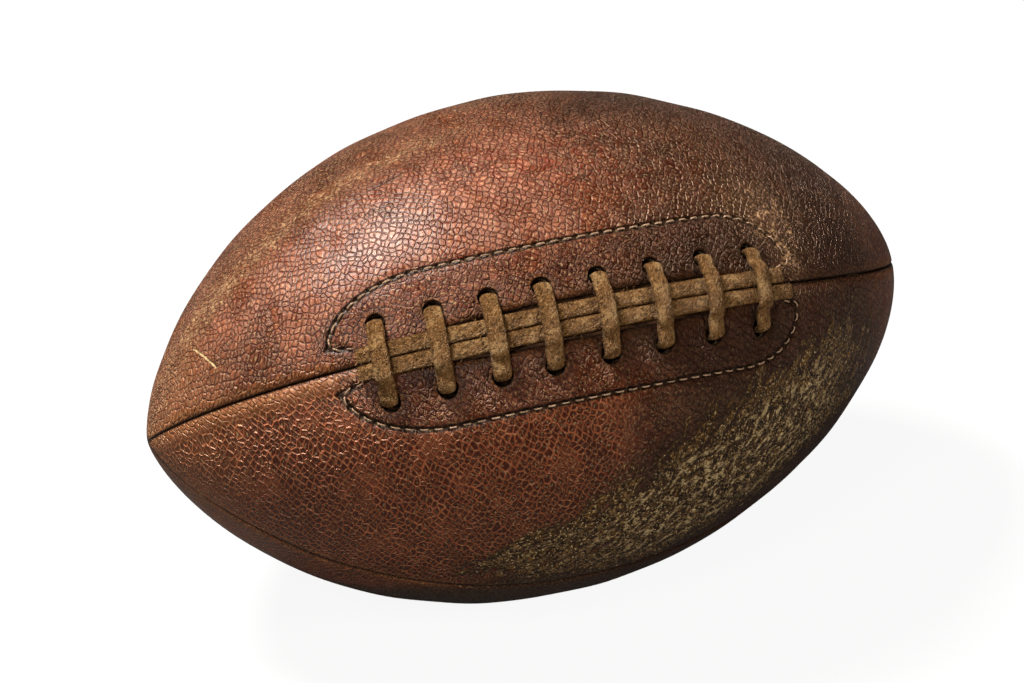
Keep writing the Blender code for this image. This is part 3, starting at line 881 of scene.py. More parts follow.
def describe_leather(piece, name, look, lacing):
    """Stores what the leather's material and grain read at each vertex."""
    seams, laced, _, _ = PANELS[name]
    points = points_of(piece)
    x = points[:, 0]
    radius = profile(x)[0]
    up = points[:, 2] - middle_height(x)
    middle = seam_turn(x, sum(seams) / 2)
    turn = np.arctan2(up, -points[:, 1])
    turn = middle + (turn - middle + math.pi) % (2 * math.pi) - math.pi
    across = (turn - seam_turn(x)) * radius
    u = outline_run(x) / MM + PANEL_SPREAD * list(PANELS).index(name)
    v = (turn - middle) * radius / MM
    # The grain is longer across the ball, most of all on the lower panel
    v *= 0.8 if name == "panel_lower_front" else 0.92
    along = u * math.cos(GRAIN_TURN) - v * math.sin(GRAIN_TURN) + wandering(u, v, 1)
    aside = u * math.sin(GRAIN_TURN) + v * math.cos(GRAIN_TURN) + wandering(u, v, 2)
    hide = np.stack([along, aside, np.zeros_like(u)], 1)
    gaps = []
    for seam, at_laces, sign in zip(seams, laced, (1, -1)):
        gaps.append(sign * (turn - seam_turn(x, seam)) * radius - (lips(x) if at_laces else 0))
    seam_gap = np.maximum(np.minimum(*gaps), 0)
    outside, phase, _ = stitch_pull(x, across, lacing.stitch_pitch)
    holes = np.min([np.hypot(x - at_x, across - at) for at_x, at in hole_places()], 0)
    holes = holes - look.hole_radius
    # The seam's lower lip is rubbed at the left of the lacing, and both are at the left end
    lip = soft_step(-x, 0.082, 0.095) * bump(across, -0.0045, 0.0035)
    lip = np.maximum(0.75 * lip, 0.55 * soft_step(-x, 0.108, 0.134))
    zones = zones_at(x / MM, across / MM, turn)
    store(piece, "hide", hide)
    store(piece, "edges", np.stack([seam_gap, outside, holes], 1) / MM)
    store(piece, "stitch", np.stack([phase, np.abs(outside) / MM, lip], 1))
    store(piece, "marks", marks_at(x / MM, across / MM, turn))
    store(piece, "zones", zones)
    store(piece, "scars", scars_at(x / MM, across / MM))
    # Raised pebbles stop short of seams, stitches and holes, and are sunk where the ridges are bare
    relief = read(piece, "finish") * soft_step(seam_gap, 0.002, 0.006) * (1 - 0.5 * zones[:, 0])
    relief *= soft_step(np.abs(outside), 0.001, 0.003) * soft_step(holes, 0.0005, 0.002)
    relief *= 1 - 1.5 * zones[:, 1]
    store(piece, "relief", relief)


def grain_tree():
    """Raises the embossed pebbles along the leather's normals."""
    tree, given = new_tree(
        "pebbled grain",
        {"Pebble Size": "Float", "Pebble Height": "Float", "Leather": "Material"},
    )
    hide = add_node(
        tree, "GeometryNodeInputNamedAttribute", {"Name": "hide"}, data_type="FLOAT_VECTOR"
    )
    relief = add_node(
        tree, "GeometryNodeInputNamedAttribute", {"Name": "relief"}, data_type="FLOAT"
    )
    cells = add_node(
        tree, "ShaderNodeMath", {0: MM, 1: given["Pebble Size"]}, operation="DIVIDE"
    )
    place = add_node(
        tree, "ShaderNodeVectorMath", {"Vector": hide, "Scale": cells}, operation="SCALE"
    )
    pebbles = add_node(
        tree,
        "ShaderNodeTexVoronoi",
        {"Vector": place, "Scale": 1.0, "Randomness": UNEVEN},
        voronoi_dimensions="2D",
        feature="DISTANCE_TO_EDGE",
    )
    dome = add_node(
        tree,
        "ShaderNodeMapRange",
        {"Value": pebbles.outputs["Distance"], "From Min": 0.0, "From Max": PEBBLE_FLANK},
        interpolation_type="SMOOTHSTEP",
    )
    tall = add_node(
        tree, "ShaderNodeMath", {0: dome, 1: given["Pebble Height"]}, operation="MULTIPLY"
    )
    rise = add_node(tree, "ShaderNodeMath", {0: tall, 1: relief}, operation="MULTIPLY")
    normal = add_node(tree, "GeometryNodeInputNormal")
    offset = add_node(
        tree, "ShaderNodeVectorMath", {"Vector": normal, "Scale": rise}, operation="SCALE"
    )
    moved = add_node(
        tree, "GeometryNodeSetPosition", {"Geometry": given["Mesh"], "Offset": offset}
    )
    return end_tree(tree, moved, given["Leather"])


def pebbled_leather(look):
    """Cowhide embossed with a pebble grain and drum-dyed, its finish rubbed, cracked and stained.

    To the eye it is a semi-gloss brown with glinting pebbles and creases darkened with dirt and
    painted shade, russet where the dye has gone, bare tan on the lips of the seams, and dull where
    mud has dried.
    """
    made, tree = new_material("pebbled cowhide, worn")
    sources = {}
    for attribute, names in {
        "edges": ("seam", "stitch", "hole"),
        "stitch": ("phase", "thread", "lip"),
        "marks": ("stain", "dust", "red"),
        "zones": ("facing", "bare", "grime_and_shade"),
        "scars": ("scar", "scar_end", "scratched"),
    }.items():
        value = add_node(tree, "ShaderNodeAttribute", attribute_name=attribute)
        parts = add_node(tree, "ShaderNodeSeparateXYZ", {0: value.outputs["Vector"]})
        sources.update(zip(names, parts.outputs))
    value = add_node(tree, "ShaderNodeAttribute", attribute_name="finish")
    sources["finish"] = value.outputs["Fac"]
    sources["between"] = add_node(
        tree, "ShaderNodeMath", {0: sources["phase"], 1: 0.5}, operation="PINGPONG"
    )
    hide = add_node(tree, "ShaderNodeAttribute", attribute_name="hide").outputs["Vector"]
    noise, cells = "ShaderNodeTexNoise", "ShaderNodeTexVoronoi"
    # Every pebble's top leans its own way
    place = add_node(
        tree,
        "ShaderNodeVectorMath",
        {"Vector": hide, "Scale": MM / look.pebble_size},
        operation="SCALE",
    )
    own = add_node(
        tree,
        cells,
        {"Vector": place, "Scale": 1.0, "Randomness": UNEVEN},
        voronoi_dimensions="2D",
    )
    lean = add_node(
        tree,
        "ShaderNodeVectorMath",
        {0: own.outputs["Color"], 1: (0.5, 0.5, 0.5)},
        operation="SUBTRACT",
    )
    offset = add_node(
        tree, "ShaderNodeVectorMath", {0: place, 1: own.outputs["Position"]}, operation="SUBTRACT"
    )
    sources["tilt"] = add_node(
        tree, "ShaderNodeVectorMath", {0: lean, 1: offset}, operation="DOT_PRODUCT"
    )
    flat = {"noise_dimensions": "2D"}
    soft, rich = {"Detail": 3.0, "Roughness": 0.55}, {"Detail": 5.0, "Roughness": 0.65}
    grain = {"Randomness": UNEVEN}
    edge = {"voronoi_dimensions": "2D", "feature": "DISTANCE_TO_EDGE"}
    pebble = look.pebble_size / MM
    # Sizes in mm. Pores, grit and dry blades of grass are really 0.1 to 0.5 mm wide, and are
    # drawn 0.8 to 1.05 mm wide, as coarse as they need to be to show
    patterns = {
        "pebble": (cells, pebble, 0, 1, grain, edge),
        "pebble_tone": (cells, pebble, 0, 1, grain, {"voronoi_dimensions": "2D"}),
        "lump": (cells, 1.05, 1.26, 1.6, {}, {"voronoi_dimensions": "2D"}),
        "lump_tone": (cells, 1.05, 1.26, 1.6, {}, {"voronoi_dimensions": "2D"}),
        "cloud": (noise, 38, 1.0, 1.5, rich, flat),
        "patch": (noise, 15, 0, 1, rich, flat),
        "blotch": (noise, 6, 0, 1, rich, flat),
        "wrinkle": (noise, look.rough_size / MM, 0, 1, soft, flat),
        "grit": (noise, 0.9, 0, 1, rich, flat),
        "fine": (noise, 0.8, 0, 1, soft, flat),
        "drift": (noise, 1.0, 0.7, 1.8, rich, flat),
        "swipe": (noise, 3.8, 1.26, 4.0, rich, flat),
        "clod": (noise, 1.9, 1.26, 1.7, soft, flat),
    }
    sums = {
        "mud": (("stain", 0.90), ("swipe", 2.0), ("blotch", 0.8), ("clod", 0.8)),
        "earth": (("dust", 0.25), ("drift", 1.0), ("blotch", 0.6)),
        "rubbing": (("patch", 1.0), ("grit", 0.5)),
    }
    masks = {
        "dome": ("pebble", -0.02, 0.21),
        "tilt": ("tilt", -0.6, 0.6),
        "crease": ("pebble", 0.10, 0.0),
        "net": ("pebble", 0.17, 0.05),
        "cell": ("pebble", 0.10, 0.22),
        "pale_pebble": ("pebble_tone", 0.55, 0.8),
        "dark_pebble": ("pebble_tone", 0.5, 0.25),
        "faded": ("cloud", 0.38, 0.62),
        "dulled": ("patch", 0.40, 0.58),
        "dark_cloud": ("cloud", 0.50, 0.38),
        "blotch": ("blotch", 0.42, 0.62),
        "rubbed": ("rubbing", 0.76, 0.90),
        "wrinkle": ("wrinkle", 0.30, 0.70),
        "fold": ("wrinkle", 0.48, 0.34),
        "grit": ("grit", 0.32, 0.68),
        "pit": ("grit", 0.46, 0.34),
        "speck": ("fine", 0.55, 0.64),
        "spark": ("fine", 0.60, 0.66),
        "fine": ("fine", 0.25, 0.75),
        "facing": ("facing", 0, 1),
        "leather": ("facing", 1, 0),
        "bare": ("bare", 0, 1),
        "dyed": ("bare", 1, 0),
        "grime_and_shade": ("grime_and_shade", 0, 1),
        "red": ("red", 0, 1),
        "lip": ("seam", 5.0, 1.5),
        "left_lip": ("lip", 0, 1),
        "seam": ("seam", 1.15, 0.25),
        "hole_rim": ("hole", 1.3, 0.4),
        "shaded_round_hole": ("hole", 3.5, 0.5),
        "groove_in": ("stitch", -1.15, -0.75),
        "groove_out": ("stitch", 1.15, 0.75),
        "vee_in": ("stitch", -1.3, 0.0),
        "vee_out": ("stitch", 1.3, 0.0),
        "wide_in": ("stitch", -1.35, -0.75),
        "wide_out": ("stitch", 1.35, 0.75),
        "at_thread": ("thread", 3.0, 2.0),
        "thread_hole": ("between", 0.28, 0.38),
        "mud": ("mud", 2.12, 2.28),
        "mud_edge": ("mud", 1.92, 2.14),
        "clod": ("clod", 0.30, 0.70),
        "swipe_top": ("swipe", 0.46, 0.60),
        "swipe_foot": ("swipe", 0.50, 0.40),
        "stained": ("stain", 0.05, 0.30),
        "thick": ("stain", 0.65, 1.0),
        "lump": ("lump", 0.75, 0.10),
        "clod_top": ("clod", 0.52, 0.58),
        "clod_foot": ("clod", 0.48, 0.42),
        "between_lumps": ("lump", 0.46, 0.64),
        "pale_lump": ("lump_tone", 0.54, 0.70),
        "dark_lump": ("lump_tone", 0.44, 0.28),
        "dusty": ("dust", 0, 1),
        "earth": ("earth", 1.07, 1.14),
        "scar_left": ("scar", -0.45, -0.1),
        "scar_right": ("scar", 0.45, 0.1),
        "scar_end": ("scar_end", 1.5, -0.5),
        "crack": ("scratched", 1, 0),
        "scratch": ("scratched", 0, 1),
        "raw": ("finish", 0.9, 0.4),
    }
    layers = [
        # The dye, faded in clouds, dulled on top, with each pebble a little different
        (look.brown, 1.0, ""),
        (look.russet, 0.9, "faded"),
        (look.mauve, 0.85, "dulled dyed"),
        (look.red, 0.95, "red blotch"),
        (look.crease, 0.25, "dark_cloud"),
        (look.crease, 0.22, "dark_pebble"),
        (look.pale_ridge_and_highlight, 0.22, "pale_pebble dyed"),
        # Dirt and painted shade in the low places of the grit
        (look.crease, 0.40, "pit"),
        # Dirt and painted shade in the creases, and ridges rubbed bare between sunken cells, with a
        # painted highlight on the ridges and painted shade in the cells
        (look.crease, 0.50, "crease dyed leather"),
        (look.crease, 0.25, "crease facing"),
        # Painted shade in the sunken cells, over their dye
        (look.pit, 0.92, "cell bare"),
        # Ridges rubbed bare, made paler still as a painted highlight
        (look.pale_ridge_and_highlight, 0.48, "net bare"),
        (look.pale_ridge_and_highlight, 0.65, "net bare blotch"),
        (look.pale_ridge_and_highlight, 0.25, "rubbed dome"),
        # Dirt and painted shade in the low folds and pits of the worn facings
        (look.crease, 0.40, "fold facing"),
        (look.crease, 0.40, "pit facing"),
        # Painted glints on the worn grain of the facings
        (look.tan, 0.40, "speck facing"),
        (look.straw, 0.45, "spark facing"),
        # Bare lips of the seams, and painted shade in the seams, stitches and holes
        (look.tan, 0.75, "lip grit"),
        (look.tan, 0.40, "left_lip"),
        (look.crease, 0.40, "shaded_round_hole"),
        (look.tan, 0.80, "hole_rim grit"),
        (look.mud, 0.90, "groove_in groove_out at_thread"),
        (look.mud, 0.95, "wide_in wide_out thread_hole at_thread"),
        # Grime and painted shade, dust, grass and mud
        (look.mud, 0.82, "grime_and_shade"),
        (look.dust, 0.08, "dusty"),
        (look.dust, 0.90, "earth dusty"),
        (look.mud, 0.75, "mud_edge stained"),
        (look.grass, 0.70, "mud stained"),
        # Dried mud with painted shade in its low places and a painted highlight on the tops of its
        # clods
        (look.mud, 0.45, "mud stained swipe_foot"),
        (look.mud, 0.60, "mud stained dark_lump"),
        (look.mud, 0.80, "mud stained between_lumps"),
        (look.mud, 0.85, "mud stained clod_foot"),
        (look.straw, 1.0, "mud thick pale_lump clod_top"),
        (look.straw, 0.95, "mud thick swipe_top clod_top"),
        # Straw flecks with painted glints in the stain, and painted glints on the grit
        (look.straw, 0.95, "mud stained spark"),
        (look.straw, 0.40, "speck grit leather"),
        # Fine damage, painted shade deep in the seams, and the cut edges
        (look.mud, 0.90, "scar_left scar_right scar_end crack"),
        (look.straw, 0.90, "scar_left scar_right scar_end scratch"),
        (look.mud, 0.95, "seam"),
        (look.raw, 1.0, "raw"),
        # Gloss goes where it is rubbed or dirty
        ("rough", 0.06, "faded"),
        ("rough", 0.10, "fine"),
        ("rough", 0.20, "crease"),
        ("rough", 0.10, "groove_in groove_out at_thread"),
        ("rough", 0.25, "lip facing"),
        ("rough", 0.25, "shaded_round_hole"),
        ("rough", 0.10, "earth dusty"),
        # Relief
        ("height", 0.40, "dome dyed"),
        ("height", 0.45, "dome facing"),
        ("height", 0.36, "tilt dyed"),
        ("height", -0.55, "dome bare"),
        ("height", 0.30, "tilt facing"),
        ("height", 0.60, "wrinkle facing"),
        ("height", 0.08, "grit"),
        ("height", 0.20, "grit facing"),
        ("height", 0.80, "mud stained lump"),
        ("height", 0.50, "mud stained swipe_top"),
        ("height", 1.60, "mud stained clod"),
        ("height", 0.15, "mud_edge stained"),
        ("height", 0.20, "earth dusty"),
        ("height", -1.50, "vee_in vee_out at_thread"),
        ("height", -0.35, "wide_in wide_out thread_hole at_thread"),
        ("height", -0.40, "scar_left scar_right scar_end"),
    ]
    fill_surface(
        tree,
        hide,
        sources,
        patterns,
        sums,
        masks,
        layers,
        0.28,
        **{
            "Specular IOR Level": 1.0,
            "Specular Tint": linear("#ffcfb0"),
            "Coat Weight": 0.28,
            "Coat Roughness": 0.30,
        },
    )
    return made


class FOOTBALL_OT_panels(bpy.types.Operator):
    """Build the four leather panels with their rolled seams, lace holes and pebbled grain"""

    bl_idname = "football.panels"
    bl_label = "Leather Panels"

    def execute(self, context):
        look = context.scene.football_leather
        lacing = context.scene.football_lacing
        leather = pebbled_leather(look)
        grain = grain_tree()
        for name, (_, laced, _, _) in PANELS.items():
            piece = panel_mesh(name, look, lacing)
            if any(laced):
                piece = punch_holes(piece, 1 if laced[0] else -1, look.hole_radius)
            describe_leather(piece, name, look, lacing)
            piece = run_tree(
                piece,
                grain,
                {
                    "Pebble Size": look.pebble_size,
                    "Pebble Height": look.pebble_height,
                    "Leather": leather,
                },
            )
            hand_over(piece, name)
        return {"FINISHED"}


# The facing stitches


def stitch_tree():
    """Two-ply strands laid end to end along a line, each dipping into its holes."""
    tree, given = new_tree(
        "lock stitches",
        {"Stitches": "Int", "Strand": "Float", "Radius": "Float", "Thread": "Material"},
    )
    line = add_node(tree, "GeometryNodeMeshToCurve", {"Mesh": given["Mesh"]})
    row = add_node(tree, "GeometryNodeResampleCurve", {"Curve": line, "Count": given["Stitches"]})
    ply_radius = add_node(
        tree, "ShaderNodeMath", {0: given["Radius"], 1: PLY_THICKNESS}, operation="MULTIPLY"
    )
    ply_offset = add_node(
        tree, "ShaderNodeMath", {0: given["Radius"], 1: PLY_OFFSET}, operation="MULTIPLY"
    )
    ply = add_node(
        tree,
        "GeometryNodeCurveSpiral",
        {
            "Resolution": 8,
            "Rotations": STRAND_TWISTS,
            "Start Radius": ply_offset,
            "End Radius": ply_offset,
            "Height": given["Strand"],
        },
    )
    ring = add_node(
        tree, "GeometryNodeCurvePrimitiveCircle", {"Resolution": 6, "Radius": ply_radius}
    )
    strand = add_node(
        tree,
        "GeometryNodeCurveToMesh",
        {"Curve": ply, "Profile Curve": ring.outputs["Curve"], "Fill Caps": True},
    )
    other = add_node(
        tree, "GeometryNodeTransform", {"Geometry": strand, "Rotation": (0.0, 0.0, math.pi)}
    )
    both = add_node(tree, "GeometryNodeJoinGeometry", {"Geometry": [strand, other]})
    # Half the strand lies on each side of its middle, and its ends bend down into the holes
    half = add_node(tree, "ShaderNodeMath", {0: given["Strand"], 1: 0.5}, operation="MULTIPLY")
    place = add_node(tree, "GeometryNodeInputPosition")
    up = add_node(tree, "ShaderNodeSeparateXYZ", {0: place}).outputs["Z"]
    share = add_node(tree, "ShaderNodeMath", {0: up, 1: half}, operation="SUBTRACT")
    share = add_node(tree, "ShaderNodeMath", {0: share, 1: half}, operation="DIVIDE")
    steep = add_node(tree, "ShaderNodeMath", {0: share, 1: 4.0}, operation="POWER")
    dip = add_node(tree, "ShaderNodeMath", {0: steep, 1: -STRAND_DIP}, operation="MULTIPLY")
    back = add_node(tree, "ShaderNodeMath", {0: half, 1: -1.0}, operation="MULTIPLY")
    shift = add_node(tree, "ShaderNodeCombineXYZ", {"X": dip, "Z": back})
    bent = add_node(tree, "GeometryNodeSetPosition", {"Geometry": both, "Offset": shift})
    # Each strand's Z runs along the line and its X points out of the leather
    ahead = add_node(tree, "GeometryNodeInputTangent")
    outward = add_node(
        tree, "GeometryNodeInputNamedAttribute", {"Name": "outward"}, data_type="FLOAT_VECTOR"
    )
    lean = add_node(tree, "FunctionNodeAlignRotationToVector", {"Vector": ahead}, axis="Z")
    lean = add_node(
        tree,
        "FunctionNodeAlignRotationToVector",
        {"Rotation": lean, "Vector": outward},
        axis="X",
        pivot_axis="Z",
    )
    uneven = add_node(
        tree,
        "FunctionNodeRandomValue",
        {"Min": (0.85, 0.85, 0.86), "Max": (1.12, 1.12, 1.06), "Seed": 3},
        data_type="FLOAT_VECTOR",
    )
    laid = add_node(
        tree,
        "GeometryNodeInstanceOnPoints",
        {"Points": row, "Instance": bent, "Rotation": lean, "Scale": uneven},
    )
    return end_tree(tree, laid, given["Thread"])


def waxed_thread(look):
    """Linen thread twisted from two plies and waxed: tan and a little glossy where it is rubbed,
    and dark with dirt between the plies."""
    made, tree = new_material("waxed linen thread, two-ply")
    # The fibres are really 0.02 mm thick, and are drawn 0.5 mm wide, which is what shows
    patterns = {
        "cloud": ("ShaderNodeTexNoise", 9, 0, 1, {"Detail": 3.0}, {}),
        "fibre": ("ShaderNodeTexNoise", 0.5, 0, 1, {"Detail": 3.0, "Roughness": 0.7}, {}),
    }
    masks = {"dirty": ("cloud", 0.40, 0.65), "fibre": ("fibre", 0.35, 0.65)}
    layers = [
        (look.thread, 1.0, ""),
        (look.thread_dirt, 0.35, "dirty"),
        (look.thread_dirt, 0.55, "fibre"),
        ("height", 0.05, "fibre"),
    ]
    fill_surface(tree, place_in_mm(tree), {}, patterns, {}, masks, layers, 0.42)
    return made


class FOOTBALL_OT_stitches(bpy.types.Operator):
    """Lay the two-ply stitches along the outlines of both facings"""

    bl_idname = "football.stitches"
    bl_label = "Facing Stitches"

    def execute(self, context):
        look = context.scene.football_lacing
        thread = waxed_thread(look)
        tree = stitch_tree()
        for name, side in (("facing_stitches_upper", 1), ("facing_stitches_lower", -1)):
            line, total = stitch_outline(side)
            points = beside_laces(line[:, 0], line[:, 1], STITCH_HEIGHT)
            above = beside_laces(line[:, 0], line[:, 1], STITCH_HEIGHT + MM)
            mesh = bpy.data.meshes.new(name)
            mesh.from_pydata(points.tolist(), [(i, i + 1) for i in range(len(points) - 1)], [])
            piece = bpy.data.objects.new(name + "_line", mesh)
            context.scene.collection.objects.link(piece)
            store(piece, "outward", (above - points) / MM)
            piece = run_tree(
                piece,
                tree,
                {
                    "Stitches": stitch_count(total, look.stitch_pitch),
                    "Strand": look.strand_length,
                    "Radius": look.thread_radius,
                    "Thread": thread,
                },
            )
            piece.data.shade_smooth()
            hand_over(piece, name)
        return {"FINISHED"}


# The lace and its strips


def strip_foot(x):
    """Height of the strips' underside: sunk into the opening, and on the leather at its ends."""
    return STRIP_LIFT - STRIP_SINK * (opening(x) / OPENING_HALF) ** 3


def thong_section(corner):
    """A rounded flat section's shares of the width and of the thickness, from -1 to 1."""
    turn = np.linspace(0, 2 * math.pi, THONG_SIDES, endpoint=False)
    # The ring runs this way round so that the faces point outwards
    wide, thick = np.cos(turn), -np.sin(turn)
    return np.sign(wide) * np.abs(wide) ** corner, np.sign(thick) * np.abs(thick) ** (corner * 1.2)


def sweep_thong(name, places, wide, half, rise, corner):
    """A flat thong along places. wide is its width's direction, half and rise half its sizes."""
    ahead = np.gradient(places, axis=0)
    ahead /= np.linalg.norm(ahead, axis=1, keepdims=True)
    wide = wide - (wide * ahead).sum(1, keepdims=True) * ahead
    wide /= np.linalg.norm(wide, axis=1, keepdims=True)
    thick = np.cross(ahead, wide)
    across, over = thong_section(corner)
    rings = (
        places[:, None, :]
        + (half[:, None] * across)[..., None] * wide[:, None, :]
        + (rise[:, None] * over * (1 - THONG_CROWN * across**2))[..., None] * thick[:, None, :]
    )
    piece = loft(name, rings)
    # Along, across, and the outer face's pattern set apart from the inner one's
    run = lengths_along(places)[:, None]
    thong = np.stack(
        np.broadcast_arrays(run / MM, half[:, None] * across / MM, FACES_APART * (over > 0)), -1
    )
    store(piece, "thong", thong.reshape(-1, 3))
    side = np.broadcast_to(soft_step(np.abs(across), 0.80, 1.0), rings.shape[:2])
    store(piece, "side", side.ravel())
    return piece


def wavering(count, size, seed):
    """Smooth random numbers from -1 to 1, changing over so many steps."""
    source = np.random.default_rng(seed)
    knots = source.uniform(-1, 1, int(count / size) + 3)
    return np.interp(np.arange(count) / size, np.arange(len(knots)), knots)


def strip_piece(name, side):
    """One flat strip along the seam, pinched where each lace crosses it."""
    low, high = STRIP_ENDS[name]
    x = np.linspace(low, high, STRIP_STEPS)
    squeeze = sum(bump(x, lace, LACE_PINCH) for lace, _ in lace_places())
    uneven_rise, uneven_half = wavering(len(x), 6, 5 + side), wavering(len(x), 9, 15 + side)
    rise = STRIP_THICKNESS / 2 * (1 - 0.16 * squeeze) * (1 + 0.03 * uneven_rise)
    half = STRIP_WIDTH / 2 * (1 + 0.035 * uneven_half + 0.02 * squeeze)
    ends = np.minimum(x - low, high - x)
    rounding = 1 - 0.14 * (1 - soft_step(ends, 0, 0.0008))
    middle = side * (GAP / 2 + STRIP_WIDTH / 2)
    foot = strip_foot(x)
    places = beside_laces(x, middle, foot + rise)
    wide = beside_laces(x, middle + SHORT, foot) - beside_laces(x, middle - SHORT, foot)
    half, rise = half * rounding, rise * rounding
    piece = sweep_thong(name + "_form", places, wide, half, rise, STRIP_CORNER)
    near_end = bump(np.repeat(ends, THONG_SIDES), 0, FRAYED_END)
    store(piece, "fray", np.maximum(read(piece, "side"), near_end))
    return piece


def lace_corners():
    """The lace's route as (x, across, height, how much the corner is rounded)."""
    settings = bpy.context.scene.football_lacing
    over = GAP + settings.lace_thickness / 2
    up = UPPER_HOLE + LEG_SHIFT
    down = LOWER_HOLE - LEG_SHIFT
    edge = GAP / 2 + STRIP_WIDTH + STRIP_CLEARANCE
    route = []
    for x, lean in lace_places():
        slope = lean / (up - down)
        bridge = float(strip_foot(x)) + STRIP_THICKNESS + over
        stops = (
            (down, -LACE_RUN, 0.0021),
            (down, over, 0.0024),
            (-edge - LACE_RISE, over, 0.0012),
            (-edge, bridge, 0.0018),
            (edge, bridge, 0.0018),
            (edge + LACE_RISE, over, 0.0012),
            (up, over, 0.0024),
            (up, -LACE_RUN, 0.0021),
        )
        if route:
            last = np.array(route[-1][:3])
            first = np.array((x + slope * down, down, -LACE_RUN))
            route += [(*(last + (first - last) * i / 3), 0.0) for i in (1, 2)]
        route += [(x + slope * across, across, height, bend) for across, height, bend in stops]
    first, last = route[0], route[-1]
    before = (first[0], first[1] + LACE_TAIL, first[2], 0.0)
    after = (last[0], last[1] - LACE_TAIL, last[2], 0.0)
    return [before, *route, after]


def rounded_route(corners):
    """The route with its corners rounded, as evenly spaced (x, across, height) points."""
    points = [np.array(corners[0][:3])]
    for before, corner, after in zip(corners, corners[1:], corners[2:]):
        here = np.array(corner[:3])
        ways = [np.array(other[:3]) - here for other in (before, after)]
        reach = [min(corner[3], 0.48 * np.linalg.norm(way)) for way in ways]
        start, end = (here + way / np.linalg.norm(way) * r for way, r in zip(ways, reach))
        for t in np.linspace(0, 1, BEND_STEPS if corner[3] else 1):
            points.append(start * (1 - t) ** 2 + here * 2 * t * (1 - t) + end * t**2)
    points.append(np.array(corners[-1][:3]))
    points = np.array(points)
    return evenly_along(points, int(lengths_along(points)[-1] / ROUTE_STEP))


def lace_piece():
    """The cross lace, flat over the strips and folded a little narrower in the holes."""
    settings = bpy.context.scene.football_lacing
    route = rounded_route(lace_corners())
    x, across, height = route.T
    places = beside_laces(x, across, height)
    wide = beside_laces(x + SHORT, across, height) - beside_laces(x - SHORT, across, height)
    count = len(route)
    in_hole = soft_step(height, 0.0018, -0.0002)
    half = settings.lace_width / 2 * (1 - 0.13 * in_hole + 0.035 * wavering(count, 9, 2))
    bridge = soft_step(height, 0.002, 0.004)
    rise = settings.lace_thickness / 2 * (1 + 0.04 * wavering(count, 7, 4) - 0.05 * bridge)
    return sweep_thong("cross_lace_form", places, wide, half, rise, LACE_CORNER)


def fray_tree():
    """Fine fibres standing off the frayed edges."""
    tree, given = new_tree(
        "frayed fibres",
        {"Density": "Float", "Length": "Float", "Thickness": "Float", "Leather": "Material"},
    )
    fray = add_node(tree, "GeometryNodeInputNamedAttribute", {"Name": "fray"}, data_type="FLOAT")
    density = add_node(
        tree, "ShaderNodeMath", {0: given["Density"], 1: fray}, operation="MULTIPLY"
    )
    spots = add_node(
        tree,
        "GeometryNodeDistributePointsOnFaces",
        {"Mesh": given["Mesh"], "Density": density, "Seed": 11},
    )
    end = add_node(tree, "ShaderNodeCombineXYZ", {"X": given["Thickness"], "Z": given["Length"]})
    bend = add_node(tree, "ShaderNodeMath", {0: given["Length"], 1: 0.45}, operation="MULTIPLY")
    middle = add_node(tree, "ShaderNodeCombineXYZ", {"X": bend, "Z": bend})
    line = add_node(
        tree,
        "GeometryNodeCurveQuadraticBezier",
        {"Resolution": 4, "Start": (0.0, 0.0, 0.0), "Middle": middle, "End": end},
    )
    ring = add_node(
        tree, "GeometryNodeCurvePrimitiveCircle", {"Resolution": 4, "Radius": given["Thickness"]}
    )
    fibre = add_node(
        tree,
        "GeometryNodeCurveToMesh",
        {"Curve": line, "Profile Curve": ring.outputs["Curve"], "Fill Caps": True},
    )
    turn = add_node(
        tree,
        "FunctionNodeRandomValue",
        {"Min": (-0.9, -0.9, -3.1), "Max": (0.9, 0.9, 3.1), "Seed": 5},
        data_type="FLOAT_VECTOR",
    )
    spread = add_node(
        tree,
        "FunctionNodeRotateRotation",
        {0: spots.outputs["Rotation"], 1: turn},
        rotation_space="LOCAL",
    )
    size = add_node(tree, "FunctionNodeRandomValue", {"Min": 0.5, "Max": 1.3, "Seed": 9})
    hairs = add_node(
        tree,
        "GeometryNodeInstanceOnPoints",
        {"Points": spots.outputs["Points"], "Instance": fibre, "Rotation": spread, "Scale": size},
    )
    both = add_node(tree, "GeometryNodeJoinGeometry", {"Geometry": [given["Mesh"], hairs]})
    return end_tree(tree, both, given["Leather"])


